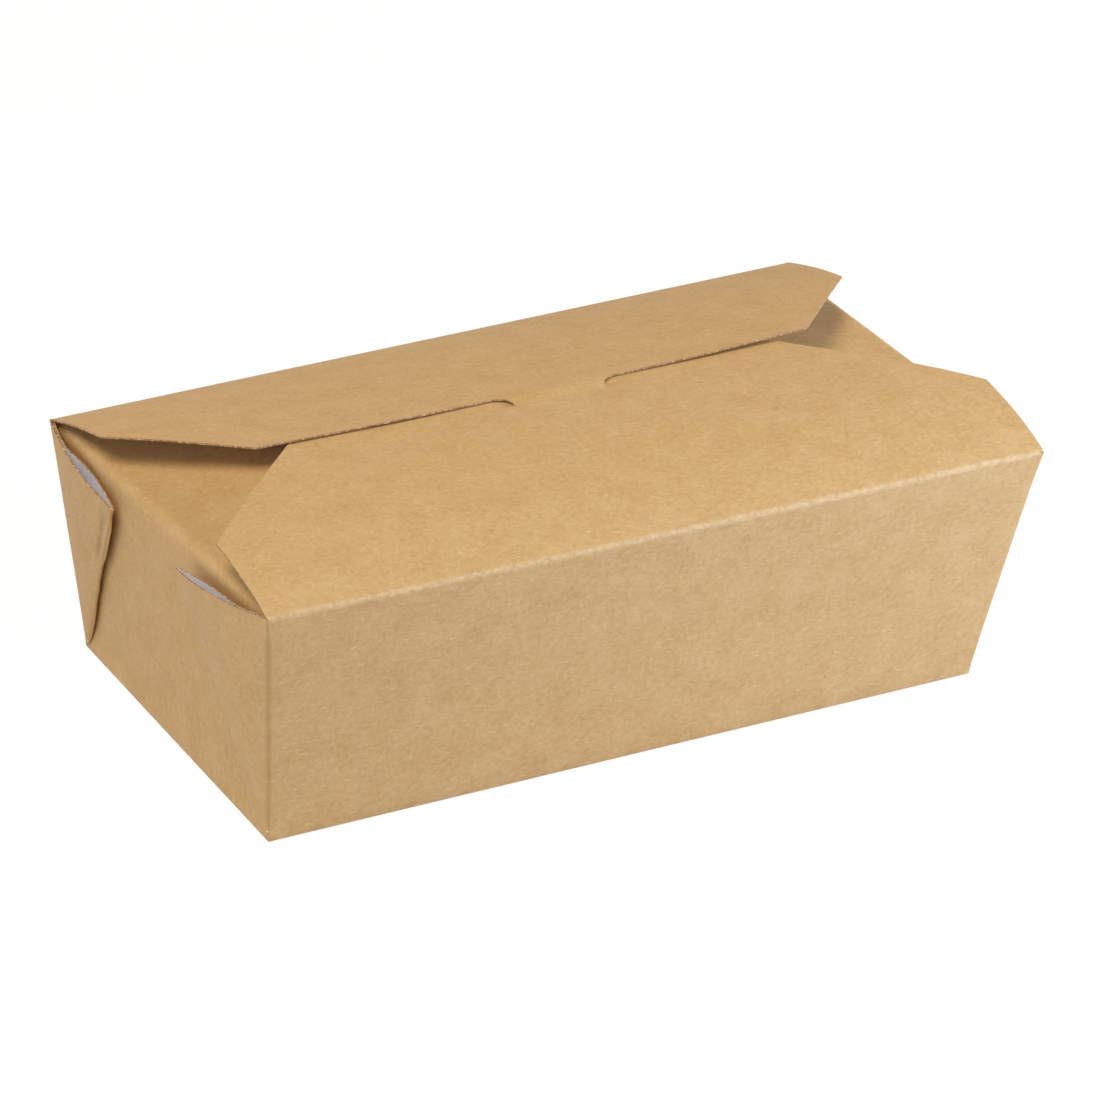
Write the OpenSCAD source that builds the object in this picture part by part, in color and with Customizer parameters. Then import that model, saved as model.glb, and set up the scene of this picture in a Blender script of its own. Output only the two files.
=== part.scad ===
// Kraft takeaway box, folded from one die-cut board and closed by four flaps.
// The front is toward -Y and the box rests on the plane z = 0.

/* [Base and walls] */
// Length of the base along the front
base_l = 192; // [160:1:240]
// Width of the base from front to rear
base_w = 106; // [92:1:140]
// Height from the resting face to the long creases of the mouth
box_h = 63; // [45:1:90]
// How far each wall leans out on its way up
flare = 8; // [4:0.5:12]

/* [Board] */
// Thickness of the board
board_t = 0.45; // [0.35:0.05:0.6]
// Radius of the creases round the base, taken at the middle of the board
crease_r = 0.8; // [0.5:0.1:1.2]
// Radius of the softer creases round the mouth, taken the same way
mouth_r = 1.6; // [0.8:0.1:2]
// Air between two folded layers at a corner of the box
layer_gap = 0.1; // [0.05:0.05:0.3]

/* [Closed lid] */
// How high the two long flaps arch above the mouth
lid_rise = 11; // [9:0.2:15]
// Distance of the lid's seam behind the middle of the box
seam_y = 4; // [0:0.5:8]
// Clearance between the two long flaps, and round the tab in its slot
lap_gap = 0.3; // [0.25:0.05:0.6]

/* [Front flap] */
// Angle at which the front flap rises from its crease
front_rise = 26; // [20:1:30]
// Distance from the front crease to the shoulder of the arch
front_shoulder = 21.5; // [14:0.5:24]
// Depth of the front flap's square wings, seen from above
front_wing = 27; // [15:0.5:32]
// Angle at which the wings are cut back to the free edge
front_cut = 44; // [38:1:50]
// How far the front flap reaches under the rear flap
tongue = 11; // [8:0.5:16]

/* [Rear flap] */
// Angle at which the rear flap rises from its crease
rear_rise = 18.5; // [16:0.5:22]
// Distance from the rear crease to the shoulder of the arch
rear_shoulder = 22; // [16:1:26]
// Depth of the rear flap's wings, seen from above
rear_wing = 28.4; // [15:0.5:34]
// How far each wing draws in on that depth
rear_wing_in = 1; // [0:0.5:6]
// Distance of the flap's front corners from its ends
rear_corner_in = 28.4; // [20:0.5:40]

/* [Tab and slot] */
// Width of the tab that tucks through the front flap
tab_w = 25; // [20:1:40]
// Distance of the tab to the right of the middle
tab_x = 4.5; // [0:0.5:8]
// Length of the tab on top of the front flap, from the seam to the slot
tab_root = 4.5; // [3:0.5:8]
// Radius of the hollow corners where the tab leaves the seam
tab_hollow = 4; // [2:0.5:5]
// Length of the tab below the lid
tab_len = 9; // [6:0.5:12]
// Radius of the tab's two corners
tab_r = 4; // [2:0.5:5]

/* [End flaps] */
// Depth of each end flap
end_depth = 50; // [35:1:60]
// Angle at which an end flap rises from its crease
end_rise = 3; // [1:0.5:4]
// How much lower the end creases lie, so that the flaps stack
end_drop = 0.6; // [0.4:0.1:1]
// Distance of each side of an end flap from the long crease, at its own crease
end_side = 2.5; // [1.5:0.5:5]
// How far each side of an end flap draws in on its depth
end_taper = 13; // [11:0.5:20]
// Radius of an end flap's two free corners
end_r = 9; // [4:1:14]

/* [Corner gussets] */
// How much longer the gusset's fold is than the corner edge of the box
gusset_over = 1.3; // [0:0.1:3]
// How far the tip of a gusset springs off the end wall
gusset_spring = 2.3; // [1.8:0.1:4]
// How far the outer layer bows out
outer_bow = 1.5; // [0.5:0.1:2.5]
// How far the inner layer bows in toward the wall
inner_bow = 0.6; // [0.2:0.1:0.7]

/* [Hinge of the rear flap] */
// Air below the rolled root of the flap, along its crease
hinge_gap = 0.25; // [0.2:0.05:0.5]

/* [Hidden] */
kraft = "#c8a26e";
kraft_flap = "#c29b68";

arch_steps = 12;
crease_steps = 5;
gusset_steps = 8;
// Length by which a cutting shape passes beyond the board
over = 20;

mouth_l = base_l + 2 * flare;
mouth_w = base_w + 2 * flare;
half_t = board_t / 2;
lean = atan(flare / box_h);
ridge_z = box_h + lid_rise;

// Helpers for lines in a section plane, whose points are [across, up]
function unit(v) = v / norm(v);
function left_of(v) = [-v[1], v[0]];
function turned(v, a) = [v[0] * cos(a) - v[1] * sin(a), v[0] * sin(a) + v[1] * cos(a)];
function reversed(pts) = [for (i = [len(pts) - 1 : -1 : 0]) pts[i]];

// An arc of radius r in place of the corner b between a and c
function corner_arc(a, b, c, r) =
    let (u = unit(a - b))
    let (v = unit(c - b))
    let (half = acos(u * v) / 2)
    let (centre = b + unit(u + v) * r / sin(half))
    let (spoke = b + u * r / tan(half) - centre)
    let (sweep = sign(cross(b - a, c - b)) * (180 - 2 * half))
    [for (k = [0 : crease_steps]) centre + turned(spoke, sweep * k / crease_steps)];

// A line whose inner corners are rounded to radius r, or each to its own radius in the list r
function rounded(pts, r) = [
    for (i = [0 : len(pts) - 1])
        each i == 0 || i == len(pts) - 1 ? [pts[i]]
            : corner_arc(pts[i - 1], pts[i], pts[i + 1], is_list(r) ? r[i - 1] : r)
];

// A smooth arch from a to c that leaves a toward b and reaches c from b
function arch(a, b, c) = [
    for (k = [0 : arch_steps])
        let (s = k / arch_steps)
        a * (1 - s) * (1 - s) + b * 2 * s * (1 - s) + c * s * s
];

// A line moved d to its left, with mitred corners
function beside(pts, d) = [
    for (i = [0 : len(pts) - 1])
        let (last = len(pts) - 1)
        let (before = left_of(unit(pts[max(i, 1)] - pts[max(i, 1) - 1])))
        let (after = left_of(unit(pts[min(i, last - 1) + 1] - pts[min(i, last - 1)])))
        pts[i] + (before + after) * d / (1 + before * after)
];

// The board's section along a line that runs through its middle
module board_section(line) {
    polygon(concat(beside(line, half_t), reversed(beside(line, -half_t))));
}

// A section in [y, up] drawn out along X, and one in [x, up] drawn out along Y
module along_x(length) {
    rotate([90, 0, 90]) linear_extrude(length, center = true) children();
}
module along_y(length) {
    rotate([90, 0, 0]) linear_extrude(length, center = true) children();
}

// Middle line of the front flap, front wall, base and rear wall, in [y, up]
foot_y = base_w / 2 - half_t / cos(lean) + half_t * tan(lean);
crease_y = mouth_w / 2 - half_t;
crease_z = box_h - half_t;
rear_crease = [crease_y, crease_z];
rear_edge = [seam_y, ridge_z];
rear_arch = arch(rear_crease, rear_crease + rear_shoulder * [-1, tan(rear_rise)], rear_edge);
front_crease = [-crease_y, crease_z];
front_ridge = [seam_y, ridge_z - board_t - lap_gap];
front_arch = arch(front_crease, front_crease + front_shoulder * [1, tan(front_rise)], front_ridge);
wall_top = crease_z - half_t - hinge_gap;
rear_top = rear_crease + ([foot_y, half_t] - rear_crease) * (crease_z - wall_top) / (crease_z - half_t);

// The tongue stays a board and a clearance below the middle line of the rear flap
under_rear = reversed(beside(rear_arch, board_t + lap_gap));
tongue_run = [for (p = under_rear) if (p[0] > seam_y + 1 && p[0] < seam_y + tongue - 1) p];
tongue_last = tongue_run[len(tongue_run) - 1];
tongue_slope = unit(tongue_last - front_ridge);
tongue_tip = tongue_last + tongue_slope * (seam_y + tongue - tongue_last[0]) / tongue_slope[0];
long_line = concat(
    rounded(
        [rear_top, [foot_y, half_t], [-foot_y, half_t], front_crease, front_arch[1]],
        [crease_r, crease_r, mouth_r]
    ),
    [for (i = [2 : arch_steps]) front_arch[i]],
    tongue_run,
    [tongue_tip]
);

// Middle line of an end flap, its wall and half of the base, in [x, up]
stack = 2 * (board_t + layer_gap);
end_foot = [base_l / 2 - half_t / cos(lean) + half_t * tan(lean), half_t];
end_crease = [mouth_l / 2 - stack - half_t, crease_z - end_drop];
end_tip = end_crease + end_depth * [-cos(end_rise), sin(end_rise)];
end_line = rounded([[0, half_t], end_foot, end_crease, end_tip], [crease_r, mouth_r]);

// The upright outline that bounds a pair of walls, from half its foot and half its top
function wall_view(foot, top) = [
    [foot, -over], [foot, 0], [top, box_h], [top, ridge_z + over],
    [-top, ridge_z + over], [-top, box_h], [-foot, 0], [-foot, -over]
];

// Plan outlines of the flaps
wing_y = front_wing - mouth_w / 2;
free_y = seam_y + tongue + over;
free_x = mouth_l / 2 - (free_y - wing_y) * tan(front_cut);
module front_plan() {
    polygon([
        [mouth_l / 2, wing_y], [free_x, free_y], [-free_x, free_y], [-mouth_l / 2, wing_y],
        [-mouth_l / 2, -mouth_w / 2 - over], [mouth_l / 2, -mouth_w / 2 - over]
    ]);
}
module rear_plan() {
    half = [
        [mouth_l / 2, mouth_w / 2 + over], [mouth_l / 2, crease_y],
        [mouth_l / 2 - rear_wing_in, mouth_w / 2 - rear_wing], [mouth_l / 2 - rear_corner_in, seam_y]
    ];
    polygon(concat(half, reversed([for (p = half) [-p[0], p[1]]])));
}
module tab_plan() {
    root_y = seam_y - tab_root - over;
    flank = rounded([[tab_w / 2, root_y], [tab_w / 2, seam_y], [tab_w / 2 + tab_r + tab_hollow, seam_y]], tab_hollow);
    half = concat(flank, [[tab_w / 2 + tab_r + tab_hollow, seam_y + tab_r]]);
    polygon(concat(half, reversed([for (p = half) [-p[0], p[1]]])));
}
end_root_x = end_crease[0] - mouth_r;
end_root_y = mouth_w / 2 - end_side;
module end_plan() {
    translate([end_root_x, -mouth_w / 2]) square([over, mouth_w]);
    polygon(rounded([
        [end_root_x + half_t, end_root_y], [end_tip[0], end_root_y - end_taper],
        [end_tip[0], end_taper - end_root_y], [end_root_x + half_t, -end_root_y]
    ], end_r));
}

// Past the seam the tab lies a clearance above the front flap as far as its slot. Below that it
// follows a circle about the rear crease, so it slides straight out as the flap opens
tab_bend = rear_edge + tab_root * unit(front_arch[arch_steps - 1] - front_ridge);
tab_reach = norm(tab_bend - rear_crease);
tab_start = atan2(tab_bend[1] - rear_crease[1], tab_bend[0] - rear_crease[0]);
tab_sweep = tab_len / tab_reach * 180 / PI;
function on_tab(a) = rear_crease + tab_reach * [cos(tab_start + a), sin(tab_start + a)];
tab_steps = 6;
tab_line = concat(
    [for (i = [0 : arch_steps]) rear_arch[i]],
    corner_arc(rear_edge, tab_bend, on_tab(tab_sweep / tab_steps), crease_r),
    [for (k = [1 : tab_steps]) on_tab(tab_sweep * k / tab_steps)]
);
tab_end_z = on_tab(tab_sweep)[1];

// The slot that the tab slides through, open behind the tab by the radius of its crease
module slot() {
    translate([tab_x, 0, 0]) along_x(tab_w + 2 * lap_gap) intersection() {
        translate(rear_crease) difference() {
            circle(tab_reach + half_t + lap_gap, $fn = 120);
            circle(tab_reach - half_t - lap_gap - crease_r, $fn = 120);
        }
        translate([-mouth_w / 2, box_h]) square([mouth_w, over + lid_rise]);
    }
}

module long_panels() {
    intersection() {
        along_x(mouth_l + over) board_section(long_line);
        along_y(mouth_w + over) polygon(wall_view(base_l / 2, mouth_l / 2));
        union() {
            translate([-mouth_l / 2 - over, -mouth_w / 2 - over, -over])
                cube([mouth_l + 2 * over, mouth_w + 2 * over, over + wall_top + hinge_gap / 2]);
            linear_extrude(ridge_z + over) front_plan();
        }
    }
}

module end_panel() {
    intersection() {
        along_y(mouth_w) board_section(end_line);
        along_x(mouth_l + over) polygon(wall_view(base_w / 2 - half_t, mouth_w / 2 - half_t));
        union() {
            translate([-over, -mouth_w / 2, -over]) cube([mouth_l / 2 + over, mouth_w, over + box_h / 2]);
            linear_extrude(ridge_z) end_plan();
        }
    }
}

// A gusset is a web of board between two walls, folded in half flat against the outside of its
// end wall. Both its layers are cones from the bottom corner of the box, here that at -X and -Y.
corner = [-base_l / 2, -base_w / 2, 0];
wall_up = unit([stack - flare, 0, box_h]);
wall_out = [-wall_up[2], 0, wall_up[0]];
edge_angle = atan(flare / norm([flare, box_h]));
fold_angle = 45 - 2 * edge_angle;
corner_edge = [-flare, -flare, box_h] * wall_top / box_h;
fold_edge = (norm(corner_edge) + gusset_over) * (cos(fold_angle) * wall_up + [0, sin(fold_angle), 0])
    + gusset_spring * wall_out;
fold_side = unit([0, cos(fold_angle), 0] - sin(fold_angle) * wall_up);
// The layers start inside the front wall and above the tight point of the corner
root_u = 0.01;
root_v = 0.08;
fold_steps = 3;

// A point of a layer, u from the corner edge to the fold, v from the bottom corner to the top
function on_layer(u, v, bow, depth) =
    corner + v * ((1 - u) * corner_edge + u * fold_edge + 4 * u * (1 - u) * bow * wall_out) - depth * wall_out;

// A point of the rolled fold, turned a from the outer layer, at radius r
function on_fold(a, v, r) =
    corner + v * fold_edge - (board_t + layer_gap / 2) * wall_out
    + r * (cos(a) * wall_out + sin(a) * fold_side);

// The board's brown face at its root and top edge, then its white face, at each stop of the web
function outer_stop(u) = [
    on_layer(u, root_v, outer_bow, 0), on_layer(u, 1, outer_bow, 0),
    on_layer(u, 1, outer_bow, board_t), on_layer(u, root_v, outer_bow, board_t)
];
function fold_stop(a) = [
    on_fold(a, root_v, board_t + layer_gap / 2), on_fold(a, 1, board_t + layer_gap / 2),
    on_fold(a, 1, layer_gap / 2), on_fold(a, root_v, layer_gap / 2)
];
function inner_stop(u) =
    let (white = (1 - u) * (stack - half_t) + u * (board_t + layer_gap))
    [
        on_layer(u, root_v, -inner_bow, white + board_t), on_layer(u, 1, -inner_bow, white + board_t),
        on_layer(u, 1, -inner_bow, white), on_layer(u, root_v, -inner_bow, white)
    ];

// Two triangles between the sides j and n of one ring, whose first point is a, and the next ring
function ring_faces(a, j, n) = [[a + j, a + 4 + j, a + n], [a + n, a + 4 + j, a + 4 + n]];

module gusset() {
    stops = [for (k = [0 : gusset_steps]) root_u + (1 - root_u) * k / gusset_steps];
    rings = concat(
        [for (u = stops) outer_stop(u)],
        [for (k = [1 : fold_steps - 1]) fold_stop(180 * k / fold_steps)],
        [for (u = reversed(stops)) inner_stop(u)]
    );
    last = 4 * (len(rings) - 1);
    polyhedron(
        [for (ring = rings) each ring],
        concat(
            [[0, 1, 2], [0, 2, 3]],
            [for (a = [0 : 4 : last - 4], j = [0 : 3], face = ring_faces(a, j, (j + 1) % 4)) face],
            [[last + 2, last + 1, last], [last + 3, last + 2, last]]
        )
    );
}

module carton() {
    color(kraft) {
        difference() {
            long_panels();
            slot();
        }
        for (side = [0, 1]) mirror([side, 0, 0]) {
            end_panel();
            gusset();
            mirror([0, 1, 0]) gusset();
        }
    }
}

module rear_flap() {
    color(kraft_flap) {
        intersection() {
            along_x(mouth_l) union() {
                board_section(rear_arch);
                translate(rear_crease) circle(half_t, $fn = 24);
            }
            linear_extrude(ridge_z + over) rear_plan();
        }
        translate([tab_x, 0, 0]) intersection() {
            along_x(mouth_l) board_section(tab_line);
            linear_extrude(ridge_z + over) tab_plan();
            along_y(mouth_w) polygon(rounded([
                [-tab_w / 2, ridge_z - tab_r], [-tab_w / 2, tab_end_z], [tab_w / 2, tab_end_z], [tab_w / 2, ridge_z - tab_r],
                [mouth_l / 2, ridge_z - tab_r], [mouth_l / 2, ridge_z + over],
                [-mouth_l / 2, ridge_z + over], [-mouth_l / 2, ridge_z - tab_r]
            ], tab_r));
        }
    }
}

carton();
rear_flap();
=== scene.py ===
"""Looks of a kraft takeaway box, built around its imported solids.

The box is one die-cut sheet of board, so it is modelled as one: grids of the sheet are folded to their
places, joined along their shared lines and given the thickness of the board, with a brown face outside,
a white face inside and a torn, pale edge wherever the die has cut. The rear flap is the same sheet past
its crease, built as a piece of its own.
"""

from __future__ import annotations

import logging
import math
from dataclasses import dataclass, field
from enum import Enum
from typing import Callable, Sequence

import bmesh
import bpy
from mathutils import Matrix, Vector, noise

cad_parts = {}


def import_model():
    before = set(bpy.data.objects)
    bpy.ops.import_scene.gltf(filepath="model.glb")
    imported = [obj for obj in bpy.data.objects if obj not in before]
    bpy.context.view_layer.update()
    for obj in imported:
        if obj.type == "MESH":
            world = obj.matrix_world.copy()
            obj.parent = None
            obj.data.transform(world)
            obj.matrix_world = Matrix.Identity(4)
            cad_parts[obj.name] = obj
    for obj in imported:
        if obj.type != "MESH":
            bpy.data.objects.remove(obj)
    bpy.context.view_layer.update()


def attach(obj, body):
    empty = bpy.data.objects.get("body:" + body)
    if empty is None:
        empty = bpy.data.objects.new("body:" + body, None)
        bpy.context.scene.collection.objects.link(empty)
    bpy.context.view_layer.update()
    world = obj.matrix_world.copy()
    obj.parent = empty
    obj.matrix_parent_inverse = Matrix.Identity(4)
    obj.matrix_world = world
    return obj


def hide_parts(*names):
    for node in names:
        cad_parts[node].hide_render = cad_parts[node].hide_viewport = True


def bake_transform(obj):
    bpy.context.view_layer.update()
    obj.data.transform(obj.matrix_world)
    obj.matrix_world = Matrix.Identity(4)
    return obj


LOG = logging.getLogger("takeaway_box")

MM = 0.001
BLANK = "blank"
BEND_RUN = 1.74  # length of board in a bend, in lengths of its reach
FRONT_RUN = 1.04  # length of the arched front flap, in lengths of its span
REAR_RUN = 1.02  # the same of the rear flap
RIDGE_FALL = 0.12  # slope of a flap past the ridge of the lid
CORNER_PAINTED_SHADE = -0.45  # marks of a crease, from 1 pale (scuffed whitening and painted highlight) to -1 painted shade: the painted shade of the bend at a corner
GROOVE_PAINTED_SHADE = -1.3  # painted shade in the crease beside a crushed stretch of a web
CRUSH_PAINTED_SHADE = -1.5  # painted shade on the crushed folded edge itself
WHITE = (1.0, 1.0, 1.0, 1.0)


class Side(Enum):
    """An end of the box, as the direction of its outward X."""

    LEFT = -1
    RIGHT = 1


class Face(Enum):
    """A long side of the box, as the direction of its outward Y."""

    FRONT = -1
    REAR = 1


class Stretch(Enum):
    """A stretch of the loop of board round a corner, on its way from the front wall to the end wall."""

    FRONT = "front wall"
    BEND = "bend at the corner"
    OUTER = "outer layer of the web"
    ROLL = "folded edge of the web"
    INNER = "inner layer of the web"
    TIGHT = "tight fold at the end wall"
    END = "end wall"


class Zone(Enum):
    """A zone of a flap, on its way from the wall to its free edge."""

    WALL = "top of the wall"
    BEND = "crease"
    PANEL = "panel"


@dataclass(frozen=True)
class BoxSizes:
    """Sizes of the folded box in millimetres, as its solids have them."""

    base_l: float = 192.0
    base_w: float = 106.0
    box_h: float = 63.0
    flare: float = 8.0
    board: float = 0.45
    layer_gap: float = 0.1
    base_crease: float = 1.0
    mouth_crease: float = 1.8
    corner_bend: float = 1.2
    mouth_bend: float = 0.45
    seam_y: float = 4.0
    lid_top: float = 74.225
    lap: float = 0.75
    front_rise: float = 26.0
    front_shoulder: float = 21.5
    front_wing: float = 27.0
    front_cut: float = 44.0
    tongue: float = 11.0
    rear_rise: float = 18.5
    rear_shoulder: float = 22.0
    rear_wing: float = 28.4
    rear_wing_in: float = 1.0
    rear_corner_in: float = 28.4
    tab_w: float = 25.0
    tab_x: float = 4.5
    tab_root: float = 4.5
    tab_hollow: float = 4.0
    tab_len: float = 9.0
    tab_r: float = 4.0
    end_depth: float = 50.0
    end_side: float = 2.5
    end_taper: float = 13.0
    end_r: float = 9.0
    hinge_reach: float = 1.8
    lip_level: float = 0.25
    seam_open: float = 0.22
    slit_press: float = 0.8
    slit_gap: float = 0.65
    end_clear: float = 0.6
    wall_bulge: float = 0.7
    web_start: float = 0.12
    slit_past: float = 1.0

    @property
    def mouth_l(self) -> float:
        """Length of the mouth along X."""
        return self.base_l + 2 * self.flare

    @property
    def mouth_w(self) -> float:
        """Width of the mouth along Y."""
        return self.base_w + 2 * self.flare

    @property
    def stack(self) -> float:
        """Depth of the two layers of a web, with the air beside them."""
        return 2 * (self.board + self.layer_gap)

    @property
    def lean(self) -> float:
        """Angle in radians at which the walls lean out."""
        return math.atan2(self.flare, self.box_h)

    @property
    def wall_run(self) -> float:
        """Height of a wall along its own slope."""
        return math.hypot(self.flare, self.box_h)

    @property
    def slit_y(self) -> float:
        """Y of the slit that the tab goes through."""
        return self.seam_y - self.tab_root

    @property
    def slit_half(self) -> float:
        """Half the length of the slit, which is longer than the tab is wide."""
        return self.tab_w / 2 + self.slit_past


def unit(angle: float) -> Vector:
    """The direction at an angle in radians, in a section plane."""
    return Vector((math.cos(angle), math.sin(angle)))


def mixed(a: float, b: float, share: float) -> float:
    """The number that lies a share of the way from a to b."""
    return a + (b - a) * share


def smooth(share: float) -> float:
    """A share held within 0 and 1 and eased at both ends."""
    t = min(1.0, max(0.0, share))
    return t * t * (3 - 2 * t)


def eased_under(height: float, limit: float, ease: float) -> float:
    """A height held under a limit, and eased over where the two meet."""
    return height - ease * math.log1p(math.exp((height - limit) / ease))


def crease_mark_strength(share: float) -> float:
    """How strongly a crease's pale mark or painted shade shows at a share of the way over it, from 0 to 1.
    """
    return math.sin(math.pi * min(1.0, max(0.0, share)))


def steps(start: float, stop: float, count: int) -> list[float]:
    """Evenly spaced numbers from start to stop, both included."""
    return [mixed(start, stop, k / count) for k in range(count + 1)]


def mirrored(half: Sequence[float]) -> list[float]:
    """Numbers that start at 0, with their opposites before them."""
    return [-value for value in reversed(half[1:])] + list(half)


def round_off(radius: float, past: float) -> float:
    """How far a rounded corner draws an edge in, at a distance past the start of its curve."""
    return radius - math.sqrt(max(0.0, radius**2 - max(0.0, past) ** 2))


def toward(azimuth: float, elevation: float) -> Vector:
    """The way from the box to what stands round it at an azimuth and an elevation in radians."""
    level = math.cos(elevation)
    return Vector((math.sin(azimuth) * level, -math.cos(azimuth) * level, math.sin(elevation)))


def curve_through(start: Vector, pull: Vector, stop: Vector, share: float) -> Vector:
    """A point of the smooth curve that leaves start toward pull and reaches stop from pull.

    Args:
        start: First point of the curve.
        pull: Point that both ends of the curve aim at.
        stop: Last point of the curve.
        share: Place along the curve, from 0 to 1.

    Returns:
        The point at that place.
    """
    return start.lerp(pull, share).lerp(pull.lerp(stop, share), share)


@dataclass(frozen=True)
class CornerFold:
    """How the web at one corner is folded onto the end wall, in millimetres.

    The folded edge runs from the foot of the corner to the tip, which lies so far along the end wall, so
    high up it and so far off it. The outer layer bows out; the inner one swings out beside the corner and
    in past the turn, a share of the way to the folded edge. Kinks are stretches of the folded edge that
    were crushed flat: the levels where each starts and ends, and how far it stands out.
    """

    side: Side
    face: Face
    along: float = 33.4
    rise: float = 56.5
    spring: float = 3.4
    bow: float = 2.4
    swing: float = 28.0
    turn: float = 0.5
    crush: float = 0.35
    crush_waves: float = 11.0
    kinks: tuple[tuple[float, float, float], ...] = ()
    groove_depth: float = 0.3

    def kink(self, level: float) -> float:
        """How far the folded edge stands out at a level, where it was crushed.

        Args:
            level: From 0 at the base to 1 at the mouth.

        Returns:
            The distance, in millimetres.
        """
        out = 0.0
        for low, high, size in self.kinks:
            out += size * smooth((level - low) / 0.03) * smooth((high - level) / 0.03)
        return out

    def groove(self, level: float, share: float) -> float:
        """How strongly the crease beside a crushed stretch shows, from 0 to 1.

        Args:
            level: From 0 at the base to 1 at the mouth.
            share: From 0 at the corner to 1 at the folded edge.

        Returns:
            The strength.
        """
        return min(1.0, self.kink(level)) * crease_mark_strength((share - 0.88) / 0.1)


CORNERS = (
    CornerFold(Side.LEFT, Face.FRONT, along=35.6, rise=58.9, spring=4.6, bow=2.0, swing=22.0, turn=0.8),
    CornerFold(
        Side.LEFT,
        Face.REAR,
        along=29.9,
        rise=56.0,
        spring=3.0,
        bow=1.8,
        swing=46.0,
        turn=0.53,
        crush=0.6,
        kinks=((0.63, 0.92, 0.9), (0.03, 0.3, 0.6)),
    ),
    CornerFold(Side.RIGHT, Face.FRONT, spring=2.2, bow=1.6),
    CornerFold(Side.RIGHT, Face.REAR, spring=0.8, bow=0.4, swing=4.0),
)


@dataclass(frozen=True)
class EndFold:
    """How one end flap is folded in, in millimetres.

    Its crease has a radius, lies so far below the mouth and is drawn in so far at its middle. Behind the
    crease the flap dips so deep, and then it springs up so steeply.
    """

    side: Side
    crease: float
    drop: float
    bow: float
    dip: float
    climb: float


ENDS = (
    EndFold(Side.LEFT, crease=3.0, drop=0.6, bow=0.9, dip=0.5, climb=0.23),
    EndFold(Side.RIGHT, crease=1.9, drop=-0.2, bow=-0.2, dip=0.6, climb=0.07),
)


@dataclass(frozen=True)
class HandFold:
    """How far each corner of the hand-folded box stands off its true place, in millimetres.

    The rear corners of the mouth only slide along the hinge line, so the rear flap still turns true.
    """

    base_front_left: tuple[float, float, float] = (-2.4, 0.5, 0.0)
    base_front_right: tuple[float, float, float] = (-1.7, -0.2, 0.0)
    base_rear_left: tuple[float, float, float] = (-1.1, 2.7, 0.0)
    base_rear_right: tuple[float, float, float] = (0.0, -0.6, 0.0)
    mouth_front_left: tuple[float, float, float] = (1.6, -0.1, 2.15)
    mouth_front_right: tuple[float, float, float] = (3.0, -2.2, 0.8)
    mouth_rear_left: tuple[float, float, float] = (0.3, 0.0, 0.0)
    mouth_rear_right: tuple[float, float, float] = (0.2, 0.0, 0.0)
    seam_sag: float = 0.9
    sag_forward: float = 0.7
    sag_reach: float = 26.0
    end_draw: float = 0.7
    end_sink: float = 0.55
    wave: float = 0.22
    wave_length: float = 38.0
    wave_way: tuple[float, float, float] = (0.4, 0.8, 1.0)

    def offset(self, sizes: BoxSizes, place: Vector) -> Vector:
        """How far the board at a place stands off its true place.

        Args:
            sizes: Sizes of the box.
            place: The true place, in millimetres.

        Returns:
            The distance to move it by.
        """
        up = min(1.0, max(0.0, place.z / sizes.box_h))
        across = (place.x / (sizes.base_l / 2 + sizes.flare * up) + 1) / 2
        back = (place.y / (sizes.base_w / 2 + sizes.flare * up) + 1) / 2
        rows = (
            (self.base_front_left, self.base_front_right, self.base_rear_left, self.base_rear_right),
            (self.mouth_front_left, self.mouth_front_right, self.mouth_rear_left, self.mouth_rear_right),
        )
        moved = Vector((0.0, 0.0, 0.0))
        for share_up, row in zip((1 - up, up), rows):
            front = Vector(row[0]).lerp(Vector(row[1]), across)
            rear = Vector(row[2]).lerp(Vector(row[3]), across)
            moved += share_up * front.lerp(rear, back)
        return moved


@dataclass
class Folder:
    """Moves the board from its true place to the place it has in the hand-folded box."""

    sizes: BoxSizes
    hand: HandFold

    def lid_sag(self, place: Vector) -> Vector:
        """How far the lid sinks and draws forward where the tab pulls on it.

        Args:
            place: The true place, in millimetres.

        Returns:
            The distance to move it by.
        """
        sizes = self.sizes
        if place.z < sizes.box_h:
            return Vector((0.0, 0.0, 0.0))
        middle = max(0.0, 1 - (place.x / (sizes.mouth_l / 2)) ** 2)
        reach = math.exp(-(((place.y - sizes.seam_y) / self.hand.sag_reach) ** 2))
        hinge = smooth((sizes.mouth_w / 2 - place.y) / 20.0)
        sag = self.hand.seam_sag
        return Vector((0.0, -self.hand.sag_forward * sag, -sag)) * middle * reach * hinge

    def end_pull(self, place: Vector) -> Vector:
        """How far the middle of an end crease is drawn in and down.

        Args:
            place: The true place, in millimetres.

        Returns:
            The distance to move it by.
        """
        sizes = self.sizes
        half = sizes.mouth_w / 2
        middle = max(0.0, 1 - (place.y / half) ** 2)
        near = smooth((abs(place.x) - sizes.mouth_l / 2 + 46.0) / 40.0)
        low = max(0.0, min(1.0, place.z / sizes.box_h)) ** 3
        roof = smooth((sizes.box_h + 4.5 - place.z) / 3.0)
        bow = next(end.bow for end in ENDS if end.side.value * place.x >= 0)
        pull = bow * middle * near * low * roof
        inward = -self.hand.end_draw * math.copysign(pull, place.x)
        return Vector((inward, 0.0, -self.hand.end_sink * pull))

    def wave(self, place: Vector) -> Vector:
        """The slight waviness of board that has been folded by hand.

        Args:
            place: The true place, in millimetres.

        Returns:
            The distance to move it by.
        """
        spot = place / self.hand.wave_length
        free = smooth(place.z / 12.0) * smooth((self.sizes.mouth_w / 2 - place.y) / 6.0)
        depth = self.hand.wave * free
        return Vector(self.hand.wave_way) * (depth * noise.noise(spot))

    def settled(self, place: Vector) -> Vector:
        """The place that a point of the true box has in the hand-folded one.

        Args:
            place: The true place, in millimetres.

        Returns:
            The new place.
        """
        shift = self.lid_sag(place) + self.end_pull(place) + self.wave(place)
        return place + shift + self.hand.offset(self.sizes, place)


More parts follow.
